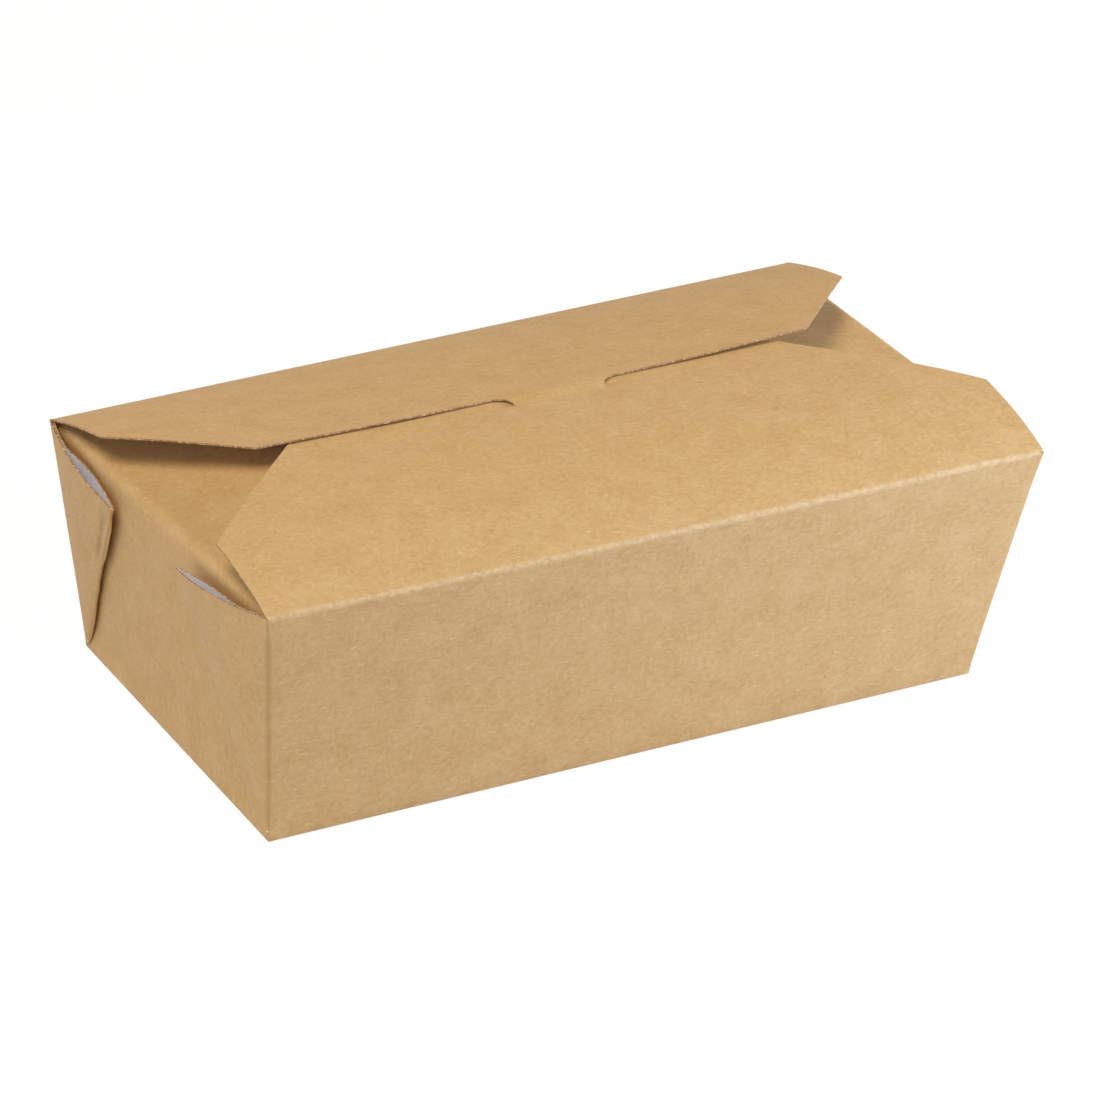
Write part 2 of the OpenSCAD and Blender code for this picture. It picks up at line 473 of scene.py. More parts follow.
# Gives the true place and the place on the blank for a pair of values
Place = Callable[[float, float], tuple[Vector, Vector]]


class Sheet:
    """A sheet of board in the making: the brown face as a mesh, with its place on the flat blank.

    The third number of that place is the mark of a crease: 1 where it is painted pale, partly for the
    whitening of scuffed fibres and partly as a painted highlight, and -1 and less where painted shade
    darkens a crease, a groove or a crushed fold.
    """

    def __init__(self, folder: Folder) -> None:
        """Starts an empty sheet."""
        self.folder = folder
        self.mesh = bmesh.new()
        self.blank = self.mesh.verts.layers.float_vector.new(BLANK)

    def add_panel(
        self, across: Sequence[float], along: Sequence[float], place: Place, turned: bool = False
    ) -> None:
        """Adds a grid of board and folds it to its place.

        Args:
            across: Values of the grid's first direction, one for each of its lines.
            along: Values of its second direction.
            place: Gives the true place and the place on the blank for a pair of values.
            turned: Whether the grid has to be turned for its brown face to lie outside.
        """
        columns, rows = len(across) - 1, len(along) - 1
        made = bmesh.ops.create_grid(self.mesh, x_segments=columns, y_segments=rows, size=0.5)
        for vert in made["verts"]:
            first = across[round((vert.co.x + 0.5) * columns)]
            second = along[round((vert.co.y + 0.5) * rows)]
            vert.co, vert[self.blank] = place(first, second)
        if turned:
            faces = {face for vert in made["verts"] for face in vert.link_faces}
            bmesh.ops.reverse_faces(self.mesh, faces=list(faces))

    def weld(self) -> None:
        """Joins the panels along the lines that they share."""
        bmesh.ops.remove_doubles(self.mesh, verts=self.mesh.verts[:], dist=0.004)

    def remove(self, wanted: Callable[[Vector, Vector], bool]) -> None:
        """Cuts away the faces for which wanted says yes, given their middle and normal.

        Args:
            wanted: Says whether a face goes.
        """
        self.mesh.normal_update()
        faces = [f for f in self.mesh.faces if wanted(f.calc_center_median(), f.normal)]
        bmesh.ops.delete(self.mesh, geom=faces, context="FACES")

    def finished(self, name: str) -> bpy.types.Object:
        """Folds the sheet as a hand does and makes it an object in metres.

        Args:
            name: Name of the object.

        Returns:
            The object, with no thickness and no material yet.
        """
        self.weld()
        for vert in self.mesh.verts:
            vert.co = self.folder.settled(vert.co)
        bmesh.ops.scale(self.mesh, vec=Vector((MM, MM, MM)), verts=self.mesh.verts[:])
        for face in self.mesh.faces:
            face.smooth = True
        for edge in self.mesh.edges:
            edge.smooth = not edge.is_boundary
        data = bpy.data.meshes.new(name)
        self.mesh.to_mesh(data)
        self.mesh.free()
        piece = bpy.data.objects.new(name, data)
        bpy.context.scene.collection.objects.link(piece)
        return piece


def linear(code: str) -> tuple[float, float, float, float]:
    """Turns an sRGB hex colour into the linear values that the shaders take.

    Args:
        code: Colour such as #c8a26e.

    Returns:
        Linear red, green and blue, with an alpha of 1.
    """
    parts = [int(code[i : i + 2], 16) / 255 for i in (1, 3, 5)]
    values = [c / 12.92 if c <= 0.04045 else ((c + 0.055) / 1.055) ** 2.4 for c in parts]
    return (values[0], values[1], values[2], 1.0)


def add_node(
    tree: bpy.types.NodeTree, kind: str, sockets: dict[str | int, object] | None = None, **settings: object
) -> bpy.types.Node:
    """Adds a node to a material, with its settings and links.

    Args:
        tree: Node tree of the material.
        kind: Type of the node, such as ShaderNodeTexNoise.
        sockets: For inputs by name or number, a value to set or an output to link.
        settings: Values of the node's own settings.

    Returns:
        The new node.
    """
    node = tree.nodes.new(kind)
    for name, value in settings.items():
        setattr(node, name, value)
    for key, value in (sockets or {}).items():
        if isinstance(value, bpy.types.NodeSocket):
            tree.links.new(value, node.inputs[key])
        else:
            node.inputs[key].default_value = value
    return node


@dataclass(frozen=True)
class Finish:
    """What every finish of the board has: a name, a roughness and a relief.

    The relief is the strength of the bumps that the pulp makes and their depth in metres.
    """

    name: str
    roughness: float
    relief: tuple[float, float]

    def start(self) -> tuple[bpy.types.Material, bpy.types.NodeTree]:
        """Makes the plain material.

        Returns:
            The material and its node tree.
        """
        material = bpy.data.materials.new(self.name)
        material.use_nodes = True
        return material, material.node_tree

    def close(
        self, tree: bpy.types.NodeTree, colour: bpy.types.NodeSocket, height: bpy.types.NodeSocket
    ) -> None:
        """Gives the material its colour, its roughness and its bumps.

        Args:
            tree: Node tree of the material.
            colour: Output that gives the colour.
            height: Output that gives the height of the pulp.
        """
        strength, depth = self.relief
        bump = add_node(tree, "ShaderNodeBump", {"Height": height, "Strength": strength, "Distance": depth})
        shader = tree.nodes["Principled BSDF"]
        tree.links.new(colour, shader.inputs["Base Color"])
        tree.links.new(bump.outputs["Normal"], shader.inputs["Normal"])
        shader.inputs["Roughness"].default_value = self.roughness


@dataclass(frozen=True)
class KraftFace(Finish):
    """Uncoated brown kraft face of the board.

    Unbleached softwood pulp that a machine presses, dries and leaves bare: the eye gets a matt brown,
    clouded where the pulp lies thicker, mottled at a millimetre and streaked with single pale and dark
    fibres that lie every way. A crease is painted paler, partly for the whitening of its scuffed fibres and
    partly as a painted highlight where the bend catches light; creases, grooves and crushed folds are
    painted darker as painted shade in their hollows. The fibres are drawn a little coarser than real ones,
    or they wouldn't show.
    """

    name: str = "uncoated brown kraft board"
    roughness: float = 0.62
    relief: tuple[float, float] = (0.25, 0.00012)
    light: str = "#d4ad76"
    dark: str = "#c2975c"
    pale_fibre: str = "#ebcfa2"
    dark_fibre: str = "#a27646"
    speck: str = "#8a6337"
    # crease colours: a pale mark that is partly scuffed whitening and partly painted highlight, and painted
    # shade for creases, grooves and crushed folds
    worn_and_highlight: str = "#ecd3ac"
    crease_shade: str = "#97703f"
    sheen: float = 0.42
    cloud_mm: float = 9.0
    mottle_mm: float = 1.5
    fibre_mm: tuple[float, float] = (2.3, 0.36)
    speck_mm: float = 4.6
    fibre_turns: tuple[float, float, float, float] = (0.3, 1.9, 1.1, 2.7)

    def pulp(
        self, tree: bpy.types.NodeTree, where: bpy.types.NodeSocket
    ) -> tuple[bpy.types.NodeSocket, bpy.types.NodeSocket]:
        """Adds the clouds and the mottle of the pulp.

        Args:
            tree: Node tree of the material.
            where: Place on the flat blank, in millimetres.

        Returns:
            The mottle, and the brown that clouds and mottle give.
        """
        clouds = {"Vector": where, "Scale": 1 / self.cloud_mm, "Detail": 3.0, "Roughness": 0.6}
        cloud = add_node(tree, "ShaderNodeTexNoise", clouds).outputs["Fac"]
        flocks = {"Vector": where, "Scale": 1 / self.mottle_mm, "Detail": 4.0, "Roughness": 0.7}
        mottle = add_node(tree, "ShaderNodeTexNoise", flocks | {"Distortion": 0.5}).outputs["Fac"]
        depth = add_node(tree, "ShaderNodeMath", {0: mottle, 1: 1.5, 2: cloud}, operation="MULTIPLY_ADD")
        span = {"Value": depth.outputs[0], "From Min": 0.85, "From Max": 1.65}
        share = add_node(tree, "ShaderNodeMapRange", span).outputs["Result"]
        browns = {0: share, 6: linear(self.dark), 7: linear(self.light)}
        return mottle, add_node(tree, "ShaderNodeMix", browns, data_type="RGBA").outputs[2]

    def fibres(
        self, tree: bpy.types.NodeTree, where: bpy.types.NodeSocket
    ) -> list[tuple[bpy.types.NodeSocket, str]]:
        """Adds the single fibres, in layers that lie different ways, pale and dark by turns.

        Args:
            tree: Node tree of the material.
            where: Place on the flat blank, in millimetres.

        Returns:
            How strongly each layer shows, with its colour.
        """
        layers = []
        for number, turn in enumerate(self.fibre_turns):
            lie = {
                "Vector": where,
                "Location": (7.0 * number, 3.0, 0.0),
                "Rotation": (0.0, 0.0, turn),
                "Scale": (1 / self.fibre_mm[0], 1 / self.fibre_mm[1], 1.0),
            }
            lying = add_node(tree, "ShaderNodeMapping", lie).outputs["Vector"]
            threads = {"Vector": lying, "Scale": 1.0, "Detail": 1.0, "Distortion": 0.9}
            fibre = add_node(tree, "ShaderNodeTexNoise", threads).outputs["Fac"]
            dark = number % 2
            span = {"Value": fibre, "From Min": 0.64, "From Max": 0.78, "To Max": 0.45 - 0.1 * dark}
            shown = add_node(tree, "ShaderNodeMapRange", span).outputs["Result"]
            layers.append((shown, self.dark_fibre if dark else self.pale_fibre))
        return layers

    def marks(
        self, tree: bpy.types.NodeTree, where: bpy.types.NodeSocket, mottle: bpy.types.NodeSocket
    ) -> list[tuple[bpy.types.NodeSocket, str]]:
        """Adds the specks of bark, the pale crease marks that mix scuffed whitening with painted highlight,
        and the painted shade of creases, grooves and crushed folds.

        Args:
            tree: Node tree of the material.
            where: Place on the flat blank, in millimetres, with the mark of a crease as its third number.
            mottle: Pattern that breaks up the marks of the creases.

        Returns:
            How strongly each mark shows, with its colour.
        """
        crease = add_node(tree, "ShaderNodeSeparateXYZ", {0: where}).outputs["Z"]
        chips = {"Vector": where, "Scale": 1 / self.speck_mm, "Randomness": 1.0}
        bark = add_node(tree, "ShaderNodeTexVoronoi", chips).outputs["Distance"]
        near = {"Value": bark, "From Min": 0.055, "From Max": 0.03, "To Max": 0.55}
        layers = [(add_node(tree, "ShaderNodeMapRange", near).outputs["Result"], self.speck)]
        # the pale crease mark is partly scuffed whitening and partly painted highlight; the dark one is
        # painted shade
        for strength, tint in ((0.45, self.worn_and_highlight), (-0.9, self.crease_shade)):
            broken = {"Value": mottle, "From Min": 0.3, "From Max": 0.7, "To Max": strength}
            mark_inputs = {0: crease, 1: add_node(tree, "ShaderNodeMapRange", broken).outputs["Result"]}
            mark = add_node(tree, "ShaderNodeMath", mark_inputs, operation="MULTIPLY", use_clamp=True)
            layers.append((mark.outputs[0], tint))
        return layers

    def build(self) -> bpy.types.Material:
        """Makes the material.

        Returns:
            The material, whose patterns follow the flat blank in millimetres.
        """
        material, tree = self.start()
        where = add_node(tree, "ShaderNodeAttribute", attribute_name=BLANK).outputs["Vector"]
        mottle, colour = self.pulp(tree, where)
        for share, tint in self.fibres(tree, where) + self.marks(tree, where, mottle):
            layer = {0: share, 6: colour, 7: linear(tint)}
            colour = add_node(tree, "ShaderNodeMix", layer, data_type="RGBA").outputs[2]
        self.close(tree, colour, mottle)
        tree.nodes["Principled BSDF"].inputs["Specular IOR Level"].default_value = self.sheen
        return material


@dataclass(frozen=True)
class CloudedFinish(Finish):
    """A finish of two colours that clouds of fibres mix.

    The clouds are so many millimetres wide and lie on the flat blank, or else in the piece's own space.
    """

    low: str
    high: str
    cloud_mm: float
    detail: float
    span: tuple[float, float]
    on_blank: bool

    def build(self) -> bpy.types.Material:
        """Makes the material.

        Returns:
            The material, for a face or an edge of the board.
        """
        material, tree = self.start()
        if self.on_blank:
            where = add_node(tree, "ShaderNodeAttribute", attribute_name=BLANK).outputs["Vector"]
        else:
            where = add_node(tree, "ShaderNodeTexCoord").outputs["Object"]
        width = self.cloud_mm if self.on_blank else self.cloud_mm * MM
        clouds = {"Vector": where, "Scale": 1 / width, "Detail": self.detail, "Roughness": 0.7}
        cloud = add_node(tree, "ShaderNodeTexNoise", clouds).outputs["Fac"]
        reach = {"Value": cloud, "From Min": self.span[0], "From Max": self.span[1]}
        share = add_node(tree, "ShaderNodeMapRange", reach).outputs["Result"]
        shades = {0: share, 6: linear(self.low), 7: linear(self.high)}
        colour = add_node(tree, "ShaderNodeMix", shades, data_type="RGBA").outputs[2]
        self.close(tree, colour, cloud)
        return material


@dataclass(frozen=True)
class WhiteFace(CloudedFinish):
    """Bleached inner face of the board.

    Bleached pulp with a thin grease-proof size, smoothed between rolls: the eye gets a cool, faintly
    clouded white with a little more sheen than the brown face.
    """

    name: str = "bleached white face of the kraft board"
    roughness: float = 0.5
    relief: tuple[float, float] = (0.08, 0.00008)
    low: str = "#e6e2ea"
    high: str = "#f1eef3"
    cloud_mm: float = 6.0
    detail: float = 5.0
    span: tuple[float, float] = (0.35, 0.65)
    on_blank: bool = True


@dataclass(frozen=True)
class CutEdge(CloudedFinish):
    """Edge that the die leaves on the board.

    The rule crushes and tears the pulp, so the eye gets a thin rough line, cream where the white ply's
    fibres stand out and brown where the kraft ply shows.
    """

    name: str = "die-cut edge of the kraft board"
    roughness: float = 0.85
    relief: tuple[float, float] = (0.5, 0.0002)
    low: str = "#9e6f40"
    high: str = "#e8cb9e"
    cloud_mm: float = 0.7
    detail: float = 3.0
    span: tuple[float, float] = (0.48, 0.66)
    on_blank: bool = False


@dataclass
class BoardFinish:
    """The three finishes that a cut and folded board shows."""

    brown: bpy.types.Material
    white: bpy.types.Material
    edge: bpy.types.Material

    def dress(self, piece: bpy.types.Object, thickness: float) -> None:
        """Gives a sheet its thickness and its finishes.

        Args:
            piece: The sheet, as its brown face alone.
            thickness: Thickness of the board in millimetres.
        """
        for material in (self.brown, self.white, self.edge):
            piece.data.materials.append(material)
        solid = piece.modifiers.new("board thickness", "SOLIDIFY")
        solid.thickness = thickness * MM
        solid.offset = -1.0
        solid.use_even_offset = False
        solid.material_offset = 1
        solid.material_offset_rim = 2


@dataclass
class Sections:
    """Sections of the box: points in a plane that looks along a crease, as outward distance and height."""

    sizes: BoxSizes

    def base_bend(self, share: float) -> Vector:
        """A point of the bend between base and wall, from the base's side at 0, off the sharp edge.

        Args:
            share: From 0 at the base to 1 at the wall.

        Returns:
            The point, outward and up.
        """
        reach = self.base_reach()
        up = unit(math.pi / 2 - self.sizes.lean) * reach
        return curve_through(Vector((-reach, 0.0)), Vector((0.0, 0.0)), up, share)

    def base_reach(self) -> float:
        """Distance from the sharp edge of the base to where its bend starts."""
        return self.sizes.base_crease * math.tan((math.pi / 2 - self.sizes.lean) / 2)

    def mouth_reach(self, rise: float, radius: float) -> float:
        """Distance from a sharp mouth crease to its bend's start, where the flap rises so many degrees.

        Args:
            rise: How steeply the flap rises, in degrees.
            radius: Size of the crease.

        Returns:
            The distance, in millimetres.
        """
        turn = math.pi / 2 + self.sizes.lean - math.radians(rise)
        return radius * math.tan(turn / 2)

    def mouth_bend(self, rise: float, radius: float, share: float) -> Vector:
        """A point of a mouth crease, from the wall at 0, as distance in and height over the sharp crease.

        Args:
            rise: How steeply the flap rises, in degrees.
            radius: Size of the crease.
            share: From 0 at the wall to 1 at the flap.

        Returns:
            The point, in millimetres.
        """
        reach = self.mouth_reach(rise, radius)
        wall = unit(math.pi / 2 + self.sizes.lean) * -reach
        return curve_through(wall, Vector((0.0, 0.0)), unit(math.radians(rise)) * reach, share)

    def front_reach(self) -> float:
        """Distance from the sharp front crease to where its bend starts."""
        return self.mouth_reach(self.sizes.front_rise, self.sizes.mouth_crease)

    def rear_reach(self) -> float:
        """Distance from the sharp rear crease to where its bend starts."""
        return self.mouth_reach(self.sizes.rear_rise, self.sizes.mouth_crease)

    def end_reach(self, end: EndFold) -> float:
        """Distance from the sharp end crease to where its bend starts."""
        return self.mouth_reach(0.0, end.crease)

    def front_bend(self, share: float) -> Vector:
        """A point of the front crease."""
        return self.mouth_bend(self.sizes.front_rise, self.sizes.mouth_crease, share)

    def rear_bend(self, share: float) -> Vector:
        """A point of the rear crease."""
        return self.mouth_bend(self.sizes.rear_rise, self.sizes.mouth_crease, share)

    def end_bend(self, end: EndFold, share: float) -> Vector:
        """A point of an end crease."""
        return self.mouth_bend(0.0, end.crease, share)

    def hinge_level(self) -> float:
        """Level, from 0 at the base to 1 at the crease, at which the rear flap's bending starts."""
        return 1 - self.sizes.hinge_reach / self.sizes.wall_run

    def wall_bulge(self, level: float, share: float) -> float:
        """How far a long wall bulges out, at a level and at a share of the way to its edge."""
        return self.sizes.wall_bulge * math.sin(math.pi * level) * (1 - share * share)


@dataclass
class Carton:
    """The carton with its walls, webs, front flap and end flaps, all but the hinged rear flap."""

    sizes: BoxSizes
    folder: Folder
    finish: BoardFinish
    wall_rows: int = 26
    bend_rows: int = 4
    web_shares: tuple[float, ...] = (*(k / 10 for k in range(9)), 0.88, 0.905, 0.93, 0.955, 0.98, 1.0)
    end_lines: int = 18
    wall_share: float = 0.35
    section: Sections = field(init=False)
    columns: list[float] = field(init=False)
    end_columns: list[float] = field(init=False)

    def __post_init__(self) -> None:
        """Works out the grid lines that the panels share."""
        self.section = Sections(self.sizes)
        self.columns = shared_columns(self.sizes)
        self.end_columns = steps(0.0, 1.0, self.end_lines)

    def corner_rail(self, level: float) -> Vector:
        """The sharp corner between front and left wall at a level from 0 at the base to 1 at the mouth."""
        sizes, out = self.sizes, self.sizes.flare * level
        return Vector((-sizes.base_l / 2 - out, -sizes.base_w / 2 - out, sizes.box_h * level))

    def web_frame(self, corner: CornerFold) -> tuple[Vector, Vector, Vector, Vector]:
        """Directions of a web, turned to the front left corner.

        Args:
            corner: How this corner is folded.

        Returns:
            The corner edge from base to mouth, the folded edge, the way out of the end wall and the way
            past the folded edge.
        """
        sizes = self.sizes
        up = Vector((sizes.stack - sizes.flare, 0.0, sizes.box_h)).normalized()
        out = Vector((-up.z, 0.0, up.x))
        edge = Vector((-sizes.flare, -sizes.flare, sizes.box_h))
        fold = corner.rise * up + Vector((0.0, corner.along, 0.0)) + corner.spring * out
        beyond = (Vector((0.0, corner.rise, 0.0)) - corner.along * up).normalized()
        return edge, fold, out, beyond

    def web_point(
        self, corner: CornerFold, level: float, share: float, lift: float, depth: float
    ) -> Vector:
        """A point of a web's layer.

        Args:
            corner: How this corner is folded.
            level: From 0 at the bottom corner to 1 at the cut top edge.
            share: From 0 at the corner edge to 1 at the folded edge.
            lift: How far the layer stands out there, at the top.
            depth: How deep it lies below the outer layer's brown face.

        Returns:
            The point, in millimetres.
        """
        edge, fold, out, _ = self.web_frame(corner)
        spread = edge.lerp(fold, share) + lift * out
        return self.corner_rail(0.0) + level * spread - depth * out

    def edge_x(self, z: float) -> float:
        """X of the line where the front wall ends and the bend of the corner starts, at a height.

        Args:
            z: Height in millimetres.

        Returns:
            X on the left side.
        """
        level = min(1.0, z / self.sizes.box_h)
        return self.corner_rail(level).x + self.bend_size(level)

    def edge_y(self, z: float) -> float:
        """Y of the tight fold beside the end wall, at a height.

        Args:
            z: Height in millimetres.

        Returns:
            Y on the front side.
        """
        level = min(1.0, z / self.sizes.box_h)
        return self.corner_rail(level).y + self.tight_inset(level)

    def loop_point(
        self, corner: CornerFold, kind: Stretch, share: float, row: float
    ) -> tuple[Vector, Vector]:
        """A point of the loop of walls and webs round a corner, turned to the front left one.

        Args:
            corner: How this corner is folded.
            kind: Stretch of the loop.
            share: Place along that stretch.
            row: Height: -1 to 0 is the bend at the base, 0 to 1 the wall, 1 to 2 the start of the crease.

        Returns:
            The true place and the place on the blank.
        """
        sizes = self.sizes
        if row > 0:
            if kind is Stretch.FRONT:
                return self.front_wall(share, row)
            if kind is Stretch.END:
                return self.end_wall(next(end for end in ENDS if end.side is corner.side), share, row)
            return self.web(corner, kind, share, row)
        bend = self.section.base_bend(row + 1)
        spot = Vector((-sizes.base_l / 2 - bend.x, -sizes.base_w / 2 - bend.x, bend.y))
        run = (row + 1) * 2 * self.section.base_reach()
        if kind is Stretch.FRONT:
            return self.front_place(share, spot, run)
        if kind is Stretch.END:
            return self.end_place(share, spot, run)
        return spot, Vector((spot.x, spot.y - run, 0.0))

    def front_place(
        self, share: float, edge: Vector, run: float, mark: float = 0.0
    ) -> tuple[Vector, Vector]:
        """A point of the front panels at a share of the way to their edge, and its place on the blank.

        Args:
            share: From 0 at the middle of the panel to 1 at its edge.
            edge: The place of the panel's edge.
            run: Length of board from the base's edge.
            mark: Mark of a crease.

        Returns:
            The true place and the place on the blank.
        """
        x = edge.x * share
        return Vector((x, edge.y, edge.z)), Vector((x, -self.sizes.base_w / 2 - run, mark))

    def end_place(self, share: float, edge: Vector, run: float) -> tuple[Vector, Vector]:
        """A point of the end panels at a share of the way to their edge, and its place on the blank.

        Args:
            share: From 0 at the middle of the panel to 1 at its edge.
            edge: The place of the panel's edge.
            run: Length of board from the base's edge.

        Returns:
            The true place and the place on the blank.
        """
        y = edge.y * share
        return Vector((edge.x, y, edge.z)), Vector((-self.sizes.base_l / 2 - run, y, 0.0))

    def wall_level(self, row: float, high: float) -> float:
        """Level of a row of the wall, with one row where the rear flap's bending starts.

        Args:
            row: Row of the wall, from 0 to 1.
            high: Level of the last row.

        Returns:
            The level, from 0 at the base to 1 at the mouth.
        """
        hinge_row = 1 - 1 / self.wall_rows
        low = self.section.base_reach() / self.sizes.wall_run
        hinge = min(self.section.hinge_level(), mixed(low, high, hinge_row))
        if row <= hinge_row:
            return mixed(low, hinge, row / hinge_row)
        return mixed(hinge, high, min(1.0, (row - hinge_row) * self.wall_rows))

    def front_wall(self, share: float, row: float) -> tuple[Vector, Vector]:
        """A point of the front wall, up to the first part of its crease at the mouth.

        Args:
            share: From 0 at the middle of the wall to 1 at its edge.
            row: Row of the wall from 0 to 1, and past it the first part of the crease.

        Returns:
            The true place and the place on the blank.
        """
        sizes = self.sizes
        reach = self.section.front_reach()
        level = self.wall_level(row, 1 - reach / sizes.wall_run)
        rail = self.corner_rail(level)
        out, up = -rail.y + self.section.wall_bulge(level, share), rail.z
        over = max(0.0, row - 1) * self.wall_share
        if row > 1:
            bend = self.section.front_bend(over)
            out, up = sizes.mouth_w / 2 - bend.x, sizes.box_h + bend.y
        run = level * sizes.wall_run + over * BEND_RUN * reach
        # the crease mark paints the mouth crease pale: scuffed whitening and painted highlight
        return self.front_place(share, Vector((self.edge_x(up), -out, up)), run, crease_mark_strength(over))

    def end_wall(self, end: EndFold, share: float, row: float) -> tuple[Vector, Vector]:
        """A point of the end wall, up to the first part of its crease at the mouth.

        Args:
            end: How this end is folded.
            share: From 0 at the middle of the wall to 1 at its edge.
            row: Row of the wall from 0 to 1, and past it the first part of the crease.

        Returns:
            The true place and the place on the blank.
        """
        sizes = self.sizes
        reach = self.section.end_reach(end)
        level = self.wall_level(row, 1 - (reach + end.drop) / sizes.wall_run)
        rail = self.corner_rail(level)
        out, up = -rail.x - self.web_inset(level, share), rail.z
        if row > 1:
            bend = self.section.end_bend(end, (row - 1) * self.wall_share)
            out = sizes.mouth_l / 2 - sizes.stack - bend.x
            up = sizes.box_h - end.drop + bend.y
        run = level * sizes.wall_run + max(0.0, row - 1) * self.wall_share * BEND_RUN * reach
        return self.end_place(share, Vector((-out, self.edge_y(up), up)), run)

    def web_inset(self, level: float, share: float) -> float:
        """How far the webs press the end wall in, at a level and at a share of the way to its edge.

        Args:
            level: From 0 at the base to 1 at the mouth.
            share: From 0 at the middle of the wall to 1 at its edge.

        Returns:
            The distance, in millimetres.
        """
        near = smooth((share - 0.4) / 0.45)
        return self.sizes.stack * mixed(level, min(1.0, level / self.sizes.web_start), near)

    def bend_size(self, level: float) -> float:
        """Size of the bend at a corner of the box, which is tighter near the base and at the mouth.

        Args:
            level: From 0 at the base to 1 at the mouth.

        Returns:
            The size, in millimetres.
        """
        open_size = self.sizes.corner_bend * min(1.0, 0.35 + level * 3)
        return mixed(open_size, self.sizes.mouth_bend, smooth((level - 0.86) / 0.13))

    def tight_inset(self, level: float) -> float:
        """Distance from the corner to the tight fold between web and end wall."""
        return 2.2 * self.sizes.board * min(1.0, level / 0.1)

    def web(
        self, corner: CornerFold, kind: Stretch, share: float, row: float
    ) -> tuple[Vector, Vector]:
        """A point of the web, which lies folded in two layers on the end wall.

        Args:
            corner: How this corner is folded.
            kind: Stretch of the loop, between the two walls.
            share: Place along that stretch.
            row: Row of the wall, from 0 to 1, and to 2 at the web's cut top.

        Returns:
            The true place and the place on the blank.
        """
        sizes = self.sizes
        level = self.wall_level(min(1.0, row), 1 - self.section.front_reach() / sizes.wall_run)
        level = mixed(level, 1.0, max(0.0, row - 1))
        edge, fold, out, beyond = self.web_frame(corner)
        grown = min(1.0, level / sizes.web_start)
        roll = (sizes.board + sizes.layer_gap / 2) * grown
        rail = self.corner_rail(level)
        width = max(1.0, level * (fold - edge).length)
        start = self.bend_size(level) / width
        deep = (2 * sizes.board + sizes.layer_gap) * grown
        if kind in (Stretch.BEND, Stretch.OUTER):
            place = start if kind is Stretch.BEND else mixed(start, 1.0, share)
            groove = 0.0 if kind is Stretch.BEND else corner.groove(level, share)
            lift = 4 * place * (1 - place) * corner.bow - corner.groove_depth * groove
            point = self.web_point(corner, level, place, lift, 0.0)
            spread = 0.0 if kind is Stretch.BEND else share * 0.5
            if kind is Stretch.BEND:
                wall = Vector((rail.x + self.bend_size(level), rail.y, rail.z))
                point = curve_through(wall, rail, point, share)
        elif kind is Stretch.ROLL:
            turn = math.pi * share
            crush = corner.crush * noise.noise(Vector((level * corner.crush_waves, 3.0, 0.0))) * grown
            point = self.web_point(corner, level, 1.0, 0.0, roll)
            wide = roll + crush + corner.kink(level)
            point += roll * math.cos(turn) * out + wide * math.sin(turn) * beyond
            spread = 0.5
        else:
            root = self.tight_inset(level) / width
            place = mixed(1.0, root, share) if kind is Stretch.INNER else root
            lift = corner.swing * place * (1 - place) ** 2 * (corner.turn - place)
            lift = min(lift, 4 * place * (1 - place) * corner.bow)
            depth = mixed(2 * roll, deep, share) if kind is Stretch.INNER else deep
            point = self.web_point(corner, level, place, lift, depth)
            spread = 0.5 + share * 0.5 if kind is Stretch.INNER else 1.0
            if kind is Stretch.TIGHT:
                stop = Vector((rail.x + sizes.stack * grown, rail.y + self.tight_inset(level), rail.z))
                pull = (point + stop) / 2 - Vector((0.0, 0.12 * grown, 0.0))
                point = curve_through(point, pull, stop, share)
        angle = math.pi / 2 * spread
        ray = Vector((math.sin(angle), math.cos(angle), 0.0))
        flat = self.corner_rail(0.0) - level * sizes.wall_run * ray
        # the crease marks paint shade: in the bend at the corner, the groove beside a crushed stretch and
        # on the crushed roll
        if kind is Stretch.BEND:
            flat.z = CORNER_PAINTED_SHADE * crease_mark_strength(share)
        elif kind is Stretch.OUTER:
            flat.z = GROOVE_PAINTED_SHADE * groove
        elif kind is Stretch.ROLL:
            flat.z = CRUSH_PAINTED_SHADE * min(1.0, corner.kink(level)) * crease_mark_strength(3 * share)
        return point, flat

    def add_base(self, sheet: Sheet) -> None:
        """Adds the base, flat on the table.

        Args:
            sheet: The sheet to add it to.
        """
        half_l = self.sizes.base_l / 2 - self.section.base_reach()
        half_w = self.sizes.base_w / 2 - self.section.base_reach()

        def base(across: float, along: float) -> tuple[Vector, Vector]:
            """A point of the base.

            Args:
                across: Share of the half width, from -1 to 1.
                along: Share of the half length, from -1 to 1.

            Returns:
                The true place and the place on the blank.
            """
            spot = Vector((half_l * across, half_w * along, 0.0))
            return spot, spot.copy()

        sheet.add_panel(self.columns, mirrored(self.end_columns), base, turned=True)

